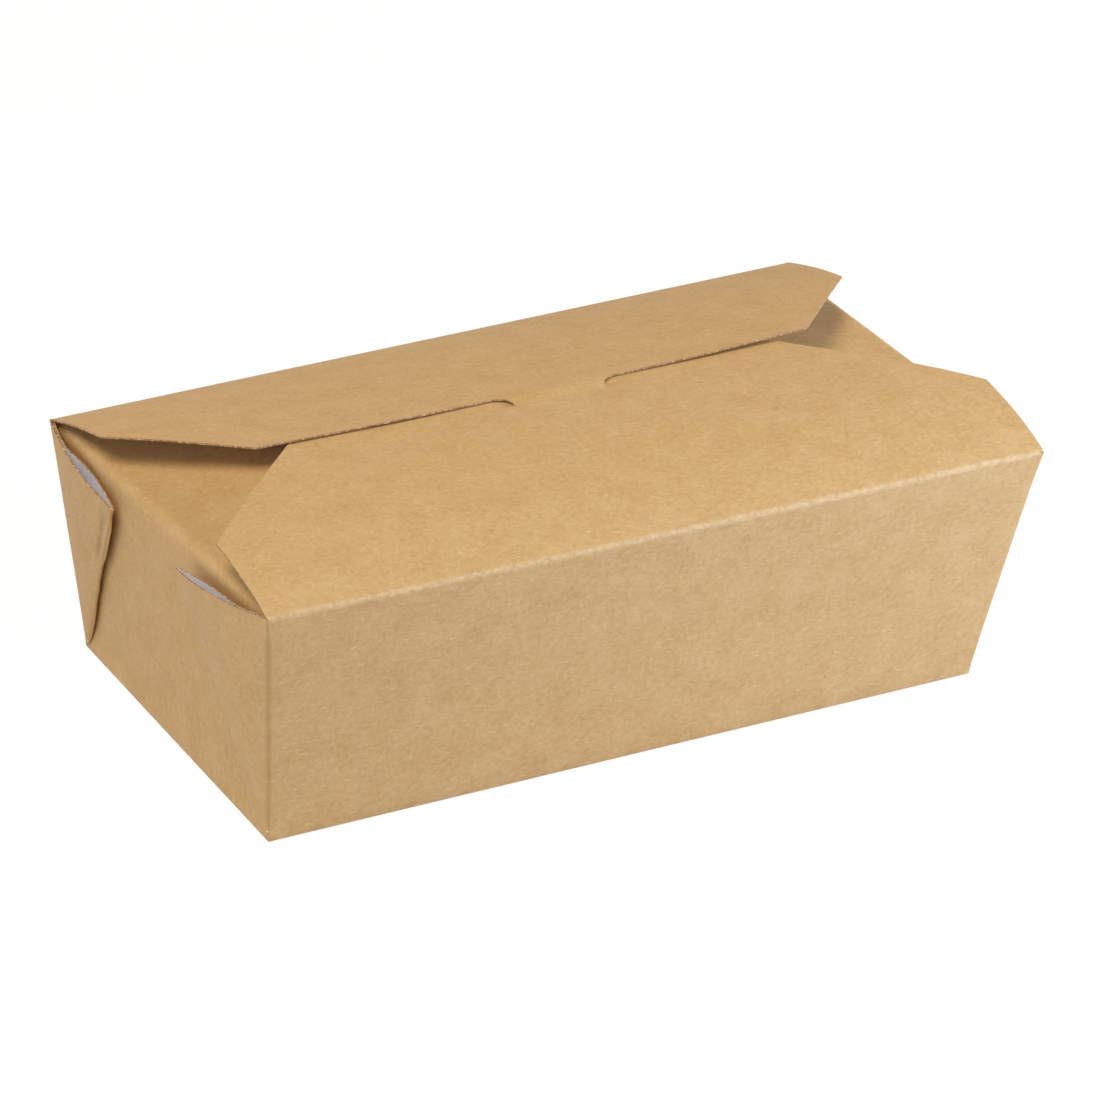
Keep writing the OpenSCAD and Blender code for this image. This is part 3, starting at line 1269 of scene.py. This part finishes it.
    def add_corner(self, sheet: Sheet, corner: CornerFold) -> None:
        """Adds the loop of walls and webs round one corner, as far as the middles of both walls.

        Args:
            sheet: The sheet to add it to.
            corner: How this corner is folded.
        """
        half_columns = [share for share in self.columns if share > -1e-9]
        if corner.side is Side.RIGHT:
            half_columns = [-share for share in reversed(self.columns) if share < 1e-9]
        stretches = [(Stretch.FRONT, share) for share in half_columns]
        stretches += [(Stretch.BEND, k / 4) for k in range(1, 5)]
        stretches += [(Stretch.OUTER, share) for share in self.web_shares[1:]]
        stretches += [(Stretch.ROLL, k / 6) for k in range(1, 7)]
        stretches += [(Stretch.INNER, 1 - share) for share in reversed(self.web_shares[:-1])]
        stretches += [(Stretch.TIGHT, k / 3) for k in range(1, 3)]
        stretches += [(Stretch.END, share) for share in reversed(self.end_columns)]
        rows = steps(-1.0, 0.0, self.bend_rows) + steps(0.0, 1.0, self.wall_rows)[1:]
        rows += steps(1.0, 2.0, 2)[1:]
        flip = (-corner.side.value, -corner.face.value)

        def loop(index: float, row: float) -> tuple[Vector, Vector]:
            """A point of the loop, by the number of its line.

            Args:
                index: Number of the grid line.
                row: Height of the row.

            Returns:
                The true place and the place on the blank.
            """
            kind, share = stretches[round(index)]
            point, flat = self.loop_point(corner, kind, share, row)
            for axis, sign in enumerate(flip):
                point[axis] *= sign
                flat[axis] *= sign
            return point, flat

        sheet.add_panel(list(range(len(stretches))), rows, loop, turned=flip[0] * flip[1] > 0)

    def lid_line(self) -> tuple[Vector, Vector, Vector]:
        """Start, pull and end of the front flap's arch, as brown-face points in Y and Z.

        Returns:
            The three points.
        """
        sizes = self.sizes
        rise = math.radians(sizes.front_rise)
        crease = Vector((-sizes.mouth_w / 2, sizes.box_h))
        bend_end = crease + unit(rise) * self.section.front_reach()
        shoulder = crease + Vector((sizes.front_shoulder, sizes.front_shoulder * math.tan(rise)))
        ridge = Vector((sizes.seam_y, sizes.lid_top - sizes.lap))
        return bend_end, shoulder, ridge

    def front_half_width(self, y: float) -> float:
        """Half width of the front flap at a distance Y.

        Args:
            y: Distance Y in millimetres.

        Returns:
            The half width.
        """
        sizes = self.sizes
        wing_y = sizes.front_wing - sizes.mouth_w / 2
        return sizes.mouth_l / 2 - max(0.0, y - wing_y) * math.tan(math.radians(sizes.front_cut))

    def add_front_flap(self, sheet: Sheet) -> None:
        """Adds the front flap, with the slit that the tab goes through.

        Args:
            sheet: The sheet to add it to.
        """
        sizes = self.sizes
        start, pull, ridge = self.lid_line()
        wing_y = sizes.front_wing - sizes.mouth_w / 2
        far = sizes.seam_y + sizes.tongue
        stops = steps(start.x, wing_y, 8) + steps(wing_y, sizes.slit_y, 16)[1:]
        stops += steps(sizes.slit_y, sizes.seam_y, 3)[1:] + steps(sizes.seam_y, far, 6)[1:]
        heights = {y: self.arch_height(start, pull, ridge, y) for y in stops}
        rows = [(Zone.BEND, k / 5) for k in range(5)] + [(Zone.PANEL, y) for y in stops]

        def flap(across: float, index: float) -> tuple[Vector, Vector]:
            """A point of the front flap, by share of the half width and number of its row.

            Args:
                across: Share of the half width, from -1 to 1.
                index: Number of the grid line.

            Returns:
                The true place and the place on the blank.
            """
            kind, value = rows[round(index)]
            if kind is Zone.BEND:
                over = mixed(self.wall_share, 1.0, value)
                # the crease mark paints this crease pale: scuffed whitening and painted highlight
                spot, mark = self.section.front_bend(over), crease_mark_strength(over)
                y, z = -sizes.mouth_w / 2 + spot.x, sizes.box_h + spot.y
                half = mixed(-self.edge_x(z), sizes.mouth_l / 2, smooth(value * 1.4))
            else:
                y, z, mark = value, heights[value], 0.0
                half = self.front_half_width(y)
            x = across * half
            z += self.lip_lift(x, y)
            run = sizes.wall_run + (y + sizes.mouth_w / 2) * FRONT_RUN
            return Vector((x, y, z)), Vector((x, -sizes.base_w / 2 - run, mark))

        sheet.add_panel(self.columns, list(range(len(rows))), flap)
        self.cut_slit(sheet)

    @staticmethod
    def arch_height(start: Vector, pull: Vector, ridge: Vector, y: float) -> float:
        """Height of an arch at a distance Y, found by halving; past the ridge it slopes gently down.

        Args:
            start: First point of the arch, as Y and Z.
            pull: Point that both its ends aim at.
            ridge: Its last point.
            y: Distance Y in millimetres.

        Returns:
            The height.
        """
        if (y - ridge.x) * (ridge.x - start.x) > 0:
            return ridge.y - RIDGE_FALL * abs(y - ridge.x)
        low, high = 0.0, 1.0
        for _ in range(40):
            middle = (low + high) / 2
            ahead = curve_through(start, pull, ridge, middle).x
            if (ahead < y) == (start.x < ridge.x):
                low = middle
            else:
                high = middle
        return curve_through(start, pull, ridge, low).y

    def lip_lift(self, x: float, y: float) -> float:
        """How far the front flap stands off its arch: level with the tab, and sunk beside it.

        Args:
            x: X of the place.
            y: Y of the place.

        Returns:
            The distance, in millimetres.
        """
        sizes = self.sizes
        aside = abs(x - sizes.tab_x) - sizes.tab_w / 2
        lip = sizes.lip_level * smooth(1.0 - (aside - 1.5) / 6.0)
        sunk = sizes.seam_open * smooth((aside - 3.0) / 26.0)
        return (lip - sunk) * smooth((y - sizes.slit_y + 24.0) / 24.0)

    def cut_slit(self, sheet: Sheet) -> None:
        """Opens the slit in the front flap and presses its rear side down under the tab.

        Args:
            sheet: The sheet, with the front flap on it.
        """
        sizes = self.sizes
        slit_y, half = sizes.slit_y, sizes.slit_half
        edges = []
        for edge in sheet.mesh.edges:
            middle = (edge.verts[0].co + edge.verts[1].co) / 2
            level = all(abs(v.co.y - slit_y) < 1e-3 and v.co.z > sizes.box_h + 2 for v in edge.verts)
            if level and abs(middle.x - sizes.tab_x) < half:
                edges.append(edge)
        bmesh.ops.split_edges(sheet.mesh, edges=edges)
        for vert in sheet.mesh.verts:
            if vert.co.z < sizes.box_h + 2 or vert.co.y < slit_y - 1e-3:
                continue
            behind = vert.co.y > slit_y + 1e-3
            rear_side = behind or all(f.calc_center_median().y > slit_y for f in vert.link_faces)
            if rear_side:
                near = smooth(1.0 - (abs(vert.co.x - sizes.tab_x) - half) / 6.0)
                vert.co.z -= sizes.slit_press * near * smooth(1 - (vert.co.y - slit_y) / 9.0)
                vert.co.y += 0.02 if behind else 0.02 + sizes.slit_gap * near

    def rear_arch(self, y: float) -> float:
        """Height of the rear flap's brown face at a distance Y.

        Args:
            y: Distance Y in millimetres.

        Returns:
            The height.
        """
        sizes = self.sizes
        rise = math.radians(sizes.rear_rise)
        crease = Vector((sizes.mouth_w / 2, sizes.box_h))
        start = crease + Vector((-math.cos(rise), math.sin(rise))) * self.section.rear_reach()
        pull = crease + Vector((-sizes.rear_shoulder, sizes.rear_shoulder * math.tan(rise)))
        return self.arch_height(start, pull, Vector((sizes.seam_y, sizes.lid_top)), y)

    def lid_under(self, y: float) -> float:
        """Height that an end flap has to stay under at a distance Y.

        Args:
            y: Distance Y in millimetres.

        Returns:
            The height.
        """
        sizes = self.sizes
        over = self.rear_arch(y)
        if y < sizes.seam_y + sizes.tongue:
            over = min(over, self.arch_height(*self.lid_line(), y) - sizes.seam_open)
        return over - sizes.board - sizes.end_clear

    def end_flap_height(self, end: EndFold, run: float, y: float) -> float:
        """Height of an end flap over its crease: it dips, then springs up and stays under the lid.

        Args:
            end: How this end is folded.
            run: Distance from the crease.
            y: Distance Y in millimetres.

        Returns:
            The height.
        """
        free = end.climb * run * run / (run + 4.0) - end.dip * smooth(run / 8.0)
        limit = self.lid_under(y) - self.sizes.box_h + end.drop
        return mixed(free, eased_under(free, limit, 0.5), smooth(run / 6.0))

    def end_half_width(self, run: float) -> float:
        """Half width of an end flap at a distance from its crease.

        Args:
            run: Distance from the crease.

        Returns:
            The half width.
        """
        sizes = self.sizes
        root = sizes.mouth_w / 2 - self.tight_inset(1.0)
        side = mixed(root, sizes.mouth_w / 2 - sizes.end_side, smooth(run / 5.0))
        half = side - sizes.end_taper * run / sizes.end_depth
        return half - round_off(sizes.end_r, run - (sizes.end_depth - sizes.end_r))

    def add_end_flap(self, sheet: Sheet, end: EndFold) -> None:
        """Adds the end flap of one side, which lies under the lid.

        Args:
            sheet: The sheet to add it to.
            end: How this end is folded.
        """
        sizes = self.sizes
        reach = self.section.end_reach(end)
        rest = sizes.end_depth - reach
        runs = steps(0.0, 12.0, 8) + steps(12.0, rest - sizes.end_r, 11)[1:]
        corner = [sizes.end_r * (1 - math.cos(math.pi / 2 * k / 6)) for k in range(5, -1, -1)]
        runs += [rest - back for back in corner]
        rows = [(Zone.BEND, k / 7) for k in range(7)] + [(Zone.PANEL, run) for run in runs]
        crease_x = sizes.mouth_l / 2 - sizes.stack
        crease_z = sizes.box_h - end.drop
        out = end.side.value

        def flap(index: float, across: float) -> tuple[Vector, Vector]:
            """A point of the end flap, by number of its row and share of the half width.

            Args:
                index: Number of the grid line.
                across: Share of the half width, from -1 to 1.

            Returns:
                The true place and the place on the blank.
            """
            kind, value = rows[round(index)]
            if kind is Zone.BEND:
                over = mixed(self.wall_share, 1.0, value)
                spot = self.section.end_bend(end, over)
                run = over * BEND_RUN * reach
                half = -self.edge_y(crease_z + spot.y)
            else:
                run = BEND_RUN * reach + value
                half = self.end_half_width(value)
                spot = Vector((reach + value, self.end_flap_height(end, value, across * half)))
            place = Vector((out * (crease_x - spot.x), across * half, crease_z + spot.y))
            flat_x = sizes.base_l / 2 + sizes.wall_run - reach - end.drop + run
            return place, Vector((out * flat_x, across * half, 0.0))

        columns = mirrored(self.end_columns)
        sheet.add_panel(list(range(len(rows))), columns, flap, turned=end.side is Side.RIGHT)

    def build(self) -> bpy.types.Object:
        """Builds the carton and dresses it.

        Returns:
            The finished piece.
        """
        sizes = self.sizes
        sheet = Sheet(self.folder)
        self.add_base(sheet)
        for corner in CORNERS:
            self.add_corner(sheet, corner)
        for end in ENDS:
            self.add_end_flap(sheet, end)
        sheet.weld()
        cut = sizes.box_h * self.section.hinge_level()

        def above_hinge(middle: Vector, normal: Vector) -> bool:
            """Whether a face of the rear wall belongs to the hinged flap.

            Args:
                middle: Middle of the face.
                normal: The way that it faces.

            Returns:
                Whether it does.
            """
            rear = middle.y > sizes.mouth_w / 2 - 4 and normal.y > 0.3
            return rear and middle.z > cut and abs(middle.x) < -self.edge_x(middle.z)

        sheet.remove(above_hinge)
        self.add_front_flap(sheet)
        piece = sheet.finished("carton_board")
        self.finish.dress(piece, sizes.board)
        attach(piece, "carton")
        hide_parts("carton")
        return piece


def shared_columns(sizes: BoxSizes) -> list[float]:
    """Grid lines along the length of the box, as shares of the half width, the same for every panel.

    Args:
        sizes: Sizes of the box.

    Returns:
        Shares from -1 to 1, with lines at the ends of the slit and of the tab's root.
    """
    wing_y = sizes.front_wing - sizes.mouth_w / 2
    front = sizes.mouth_l / 2 - (sizes.slit_y - wing_y) * math.tan(math.radians(sizes.front_cut))
    rear = sizes.mouth_l / 2 - sizes.rear_corner_in
    slit = [(sizes.tab_x + s * sizes.slit_half) / front for s in (-1, 1)]
    root = [(sizes.tab_x + s * (sizes.tab_w / 2 + sizes.tab_hollow)) / rear for s in (-1, 1)]
    fixed = [abs(value) for value in slit + root]
    even = [k / 34 for k in range(35)]
    kept = [value for value in even if all(abs(value - other) > 0.011 for other in fixed)]
    return mirrored(sorted(set(kept + fixed)))


@dataclass
class RearFlap:
    """The hinged rear flap: the sheet past its crease, with the tab that locks the lid."""

    sizes: BoxSizes
    folder: Folder
    finish: BoardFinish
    carton: Carton
    right_rise: float = 0.9
    section: Sections = field(init=False)
    columns: list[float] = field(init=False)

    def __post_init__(self) -> None:
        """Takes the grid lines of the rear wall."""
        self.section = self.carton.section
        self.columns = self.carton.columns

    def half_width(self, y: float) -> float:
        """Half width of the flap at a distance Y: a wing that draws in, then a slanted cut to the seam.

        Args:
            y: Distance Y in millimetres.

        Returns:
            The half width.
        """
        sizes = self.sizes
        wing_y = sizes.mouth_w / 2 - sizes.rear_wing
        wing = sizes.mouth_l / 2 - sizes.rear_wing_in
        if y >= wing_y:
            return mixed(sizes.mouth_l / 2, wing, (sizes.mouth_w / 2 - y) / sizes.rear_wing)
        return mixed(wing, sizes.mouth_l / 2 - sizes.rear_corner_in, (wing_y - y) / (wing_y - sizes.seam_y))

    def right_spring(self, x: float, y: float) -> float:
        """How far the right end of the flap, which the tab doesn't hold down, springs up."""
        return self.right_rise * smooth((x - 32.0) / 48.0) * smooth((self.sizes.mouth_w / 2 - y) / 30.0)

    def add_main_panel(self, sheet: Sheet) -> None:
        """Adds the flap from the top of the rear wall over the crease to the seam.

        Args:
            sheet: The sheet to add it to.
        """
        sizes = self.sizes
        reach = self.section.rear_reach()
        first = sizes.mouth_w / 2 - reach * math.cos(math.radians(sizes.rear_rise))
        wing_y = sizes.mouth_w / 2 - sizes.rear_wing
        runs = steps(first, wing_y, 9) + steps(wing_y, sizes.seam_y, 10)[1:]
        rows = [(Zone.WALL, share) for share in (0.0, 0.5)]
        rows += [(Zone.BEND, k / 7) for k in range(7)] + [(Zone.PANEL, y) for y in runs]
        cut = self.section.hinge_level()
        top = 1 - reach / sizes.wall_run

        def flap(across: float, index: float) -> tuple[Vector, Vector]:
            """A point of the flap, by share of the half width and number of its row.

            Args:
                across: Share of the half width, from -1 to 1.
                index: Number of the grid line.

            Returns:
                The true place and the place on the blank.
            """
            kind, value = rows[round(index)]
            # the crease mark paints this crease pale: scuffed whitening and painted highlight
            mark = crease_mark_strength(value) if kind is Zone.BEND else 0.0
            if kind is Zone.WALL:
                level = mixed(cut, top, value)
                y = sizes.base_w / 2 + sizes.flare * level + self.section.wall_bulge(level, across)
                z = sizes.box_h * level
                half = -self.carton.edge_x(z)
            elif kind is Zone.BEND:
                spot = self.section.rear_bend(value)
                y, z = sizes.mouth_w / 2 - spot.x, sizes.box_h + spot.y
                half = mixed(-self.carton.edge_x(z), sizes.mouth_l / 2, smooth(value * 1.4))
            else:
                y = value
                half = self.half_width(y)
                z = self.carton.rear_arch(y) + self.right_spring(across * half, y)
            run = sizes.wall_run + (sizes.mouth_w / 2 - y) * REAR_RUN
            flat = Vector((across * half, sizes.base_w / 2 + run, mark))
            return Vector((across * half, y, z)), flat

        sheet.add_panel(self.columns, list(range(len(rows))), flap, turned=True)

    def add_tab(self, sheet: Sheet) -> None:
        """Adds the tab: over the front flap to the slit, then down on a circle about the hinge.

        Args:
            sheet: The sheet to add it to.
        """
        sizes = self.sizes
        rear = sizes.mouth_l / 2 - sizes.rear_corner_in
        root_half = sizes.tab_w / 2 + sizes.tab_hollow
        shares = [c for c in self.columns if abs(c * rear - sizes.tab_x) < root_half + 1e-6]
        # the tab comes level with the lip of the slit just before it, and clears it by a tenth
        lip_z = sizes.lid_top - sizes.lap + 0.1
        seam = Vector((sizes.seam_y, sizes.lid_top))
        brink = Vector((sizes.slit_y + 0.4, lip_z + 0.03))
        mouth = Vector((sizes.slit_y + 0.12, lip_z))
        axis = Vector((sizes.mouth_w / 2 - sizes.board / 2, sizes.box_h - sizes.board / 2))
        spoke = mouth - axis
        angle = math.atan2(spoke.y, spoke.x)
        turn = sizes.tab_len / spoke.length
        arc = [axis + spoke.length * unit(angle + turn * k / 8) for k in range(1, 9)]
        line = [curve_through(seam, seam - Vector((2.0, 0.1)), brink, k / 5) for k in range(6)]
        line += [curve_through(brink, mouth, arc[0], share) for share in (0.3, 0.6)] + arc
        lengths = [0.0]
        for before, after in zip(line, line[1:]):
            lengths.append(lengths[-1] + (after - before).length)
        total = lengths[-1]
        root_y = sizes.base_w / 2 + sizes.wall_run

        def half_at(run: float) -> float:
            """Half width of the tab at a distance from the seam.

            Args:
                run: Distance from the seam.

            Returns:
                The half width.
            """
            half = sizes.tab_w / 2 + round_off(sizes.tab_hollow, sizes.tab_hollow - run)
            return half - round_off(sizes.tab_r, run - (total - sizes.tab_r))

        def tab(share: float, index: float) -> tuple[Vector, Vector]:
            """A point of the tab, by share on the seam and number of its row.

            Args:
                share: Share of the seam's half width.
                index: Number of the grid line.

            Returns:
                The true place and the place on the blank.
            """
            spot, run = line[round(index)], lengths[round(index)]
            aside = (share * rear - sizes.tab_x) / root_half
            x = sizes.tab_x + aside * half_at(run)
            flat_y = root_y + (sizes.mouth_w / 2 - sizes.seam_y) * REAR_RUN + run
            return Vector((x, spot.x, spot.y)), Vector((x, flat_y, 0.0))

        sheet.add_panel(shares, list(range(len(line))), tab, turned=True)

    def build(self) -> bpy.types.Object:
        """Builds the flap and dresses it.

        Returns:
            The finished piece.
        """
        sizes = self.sizes
        sheet = Sheet(self.folder)
        self.add_main_panel(sheet)
        self.add_tab(sheet)
        piece = sheet.finished("rear_flap_board")
        self.finish.dress(piece, sizes.board)
        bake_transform(piece)
        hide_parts("rear_flap")
        return piece


@dataclass(frozen=True)
class StudioCamera:
    """The camera of the photograph, found from the corners of the box; lengths in millimetres."""

    azimuth: float = -27.896
    elevation: float = 27.592
    roll: float = 0.921
    focal_px: float = 7055.5
    frame_px: float = 1100.0
    sensor: float = 36.0
    offset: tuple[float, float, float] = (-4.014, -27.959, 1760.456)

    def build(self) -> bpy.types.Object:
        """Makes the camera and the scene's view of it.

        Returns:
            The camera's object.
        """
        azimuth, elevation, roll = (math.radians(a) for a in (self.azimuth, self.elevation, self.roll))
        ahead = -toward(azimuth, elevation)
        level = ahead.cross(Vector((0.0, 0.0, 1.0))).normalized()
        above = level.cross(ahead)
        right = math.cos(roll) * level + math.sin(roll) * above
        up = -math.sin(roll) * level + math.cos(roll) * above
        place = -(right * self.offset[0] + up * self.offset[1] + ahead * self.offset[2]) * MM
        data = bpy.data.cameras.new("studio_camera")
        data.sensor_width = self.sensor
        data.lens = self.focal_px / self.frame_px * self.sensor
        data.clip_start, data.clip_end = 0.05, 20.0
        camera = bpy.data.objects.new("studio_camera", data)
        camera.matrix_world = Matrix(
            (
                (right.x, up.x, -ahead.x, place.x),
                (right.y, up.y, -ahead.y, place.y),
                (right.z, up.z, -ahead.z, place.z),
                (0.0, 0.0, 0.0, 1.0),
            )
        )
        bpy.context.scene.collection.objects.link(camera)
        bpy.context.scene.camera = camera
        return camera


@dataclass(frozen=True)
class Softbox:
    """A square studio light, by where it stands round the box; lengths in metres."""

    name: str
    azimuth: float
    elevation: float
    distance: float
    side: float
    power: float
    tint: str
    aim_height: float = 0.04

    def build(self) -> bpy.types.Object:
        """Makes the light, turned to the middle of the box.

        Returns:
            The light's object.
        """
        back = toward(math.radians(self.azimuth), math.radians(self.elevation))
        data = bpy.data.lights.new(self.name, "AREA")
        data.shape = "SQUARE"
        data.size = self.side
        data.energy = self.power
        data.color = linear(self.tint)[:3]
        light = bpy.data.objects.new(self.name, data)
        light.location = Vector((0.0, 0.0, self.aim_height)) + back * self.distance
        light.rotation_mode = "QUATERNION"
        light.rotation_quaternion = (-back).to_track_quat("-Z", "Y")
        bpy.context.scene.collection.objects.link(light)
        return light


@dataclass(frozen=True)
class Studio:
    """Plain pale floor and soft light, white behind the box."""

    sky: str = "#716759"
    floor: str = "#f4f3f2"
    floor_side: float = 6.0
    floor_glow: float = 1.06
    floor_share: float = 0.86

    def lights(self) -> list[Softbox]:
        """The softboxes: the key above on the left, and low, cooler fills in front of both ends.

        Returns:
            The lights.
        """
        return [
            Softbox("key_softbox", -70.0, 60.0, distance=1.5, side=0.75, power=15.8, tint="#fffcf2"),
            Softbox("low_fill_softbox", 56.0, 15.0, distance=0.65, side=0.36, power=5.05, tint="#c4dcff"),
            Softbox("side_fill_softbox", 95.0, 14.0, distance=0.9, side=0.5, power=0.9, tint="#ffe6bf"),
            Softbox("left_fill_softbox", -75.0, 14.0, distance=0.9, side=0.4, power=0.98, tint="#7dbcff"),
        ]

    @staticmethod
    def seen(tree: bpy.types.NodeTree) -> bpy.types.NodeSocket:
        """Whether the camera sees a place, by itself or in a reflection or through glass.

        Args:
            tree: Node tree of the material or the world.

        Returns:
            Output that is 1 where it is seen.
        """
        path = add_node(tree, "ShaderNodeLightPath").outputs
        shown = path["Is Camera Ray"]
        for kind in ("Is Glossy Ray", "Is Transmission Ray"):
            either = {0: shown, 1: path[kind]}
            shown = add_node(tree, "ShaderNodeMath", either, operation="MAXIMUM").outputs[0]
        return shown

    def build_sky(self) -> None:
        """Makes the world: even, warm light, and plain white where the camera sees it."""
        world = bpy.data.worlds.new("studio_sky")
        world.use_nodes = True
        tree = world.node_tree
        looks = {0: self.seen(tree), 6: linear(self.sky), 7: WHITE}
        colour = add_node(tree, "ShaderNodeMix", looks, data_type="RGBA").outputs[2]
        tree.links.new(colour, tree.nodes["Background"].inputs["Color"])
        bpy.context.scene.world = world

    def build_floor(self) -> bpy.types.Object:
        """Makes the floor, which shows white to the camera apart from the shadow on it.

        Returns:
            The floor's object.
        """
        mesh = bmesh.new()
        bmesh.ops.create_grid(mesh, x_segments=1, y_segments=1, size=self.floor_side / 2)
        bmesh.ops.translate(mesh, vec=Vector((0.0, 0.0, -0.0001)), verts=mesh.verts[:])
        data = bpy.data.meshes.new("studio_floor")
        mesh.to_mesh(data)
        mesh.free()
        floor = bpy.data.objects.new("studio_floor", data)
        bpy.context.scene.collection.objects.link(floor)
        material = bpy.data.materials.new("matt white studio paper")
        material.use_nodes = True
        tree = material.node_tree
        shader = tree.nodes["Principled BSDF"]
        shader.inputs["Base Color"].default_value = linear(self.floor)
        shader.inputs["Roughness"].default_value = 0.9
        shader.inputs["Specular IOR Level"].default_value = 0.2
        glow = add_node(tree, "ShaderNodeEmission", {"Color": WHITE, "Strength": self.floor_glow})
        shown = {0: self.seen(tree), 1: self.floor_share}
        share = add_node(tree, "ShaderNodeMath", shown, operation="MULTIPLY").outputs[0]
        looks = {0: share, 1: shader.outputs["BSDF"], 2: glow.outputs["Emission"]}
        look = add_node(tree, "ShaderNodeMixShader", looks).outputs["Shader"]
        tree.links.new(look, tree.nodes["Material Output"].inputs["Surface"])
        data.materials.append(material)
        return floor

    def build(self) -> None:
        """Makes the sky, the floor and the lights."""
        self.build_sky()
        self.build_floor()
        for softbox in self.lights():
            softbox.build()
        bpy.context.scene.view_settings.view_transform = "Standard"


def main() -> None:
    """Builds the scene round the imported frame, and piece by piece."""
    logging.basicConfig(level=logging.INFO, format="%(name)s: %(message)s")
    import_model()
    sizes = BoxSizes()
    folder = Folder(sizes, HandFold())
    finish = BoardFinish(KraftFace().build(), WhiteFace().build(), CutEdge().build())
    carton = Carton(sizes, folder, finish)
    for builder in (carton, RearFlap(sizes, folder, finish, carton)):
        piece = builder.build()
        LOG.info("built %s with %d faces", piece.name, len(piece.data.polygons))
    StudioCamera().build()
    Studio().build()
    bpy.context.view_layer.update()


if __name__ == "__main__":
    main()
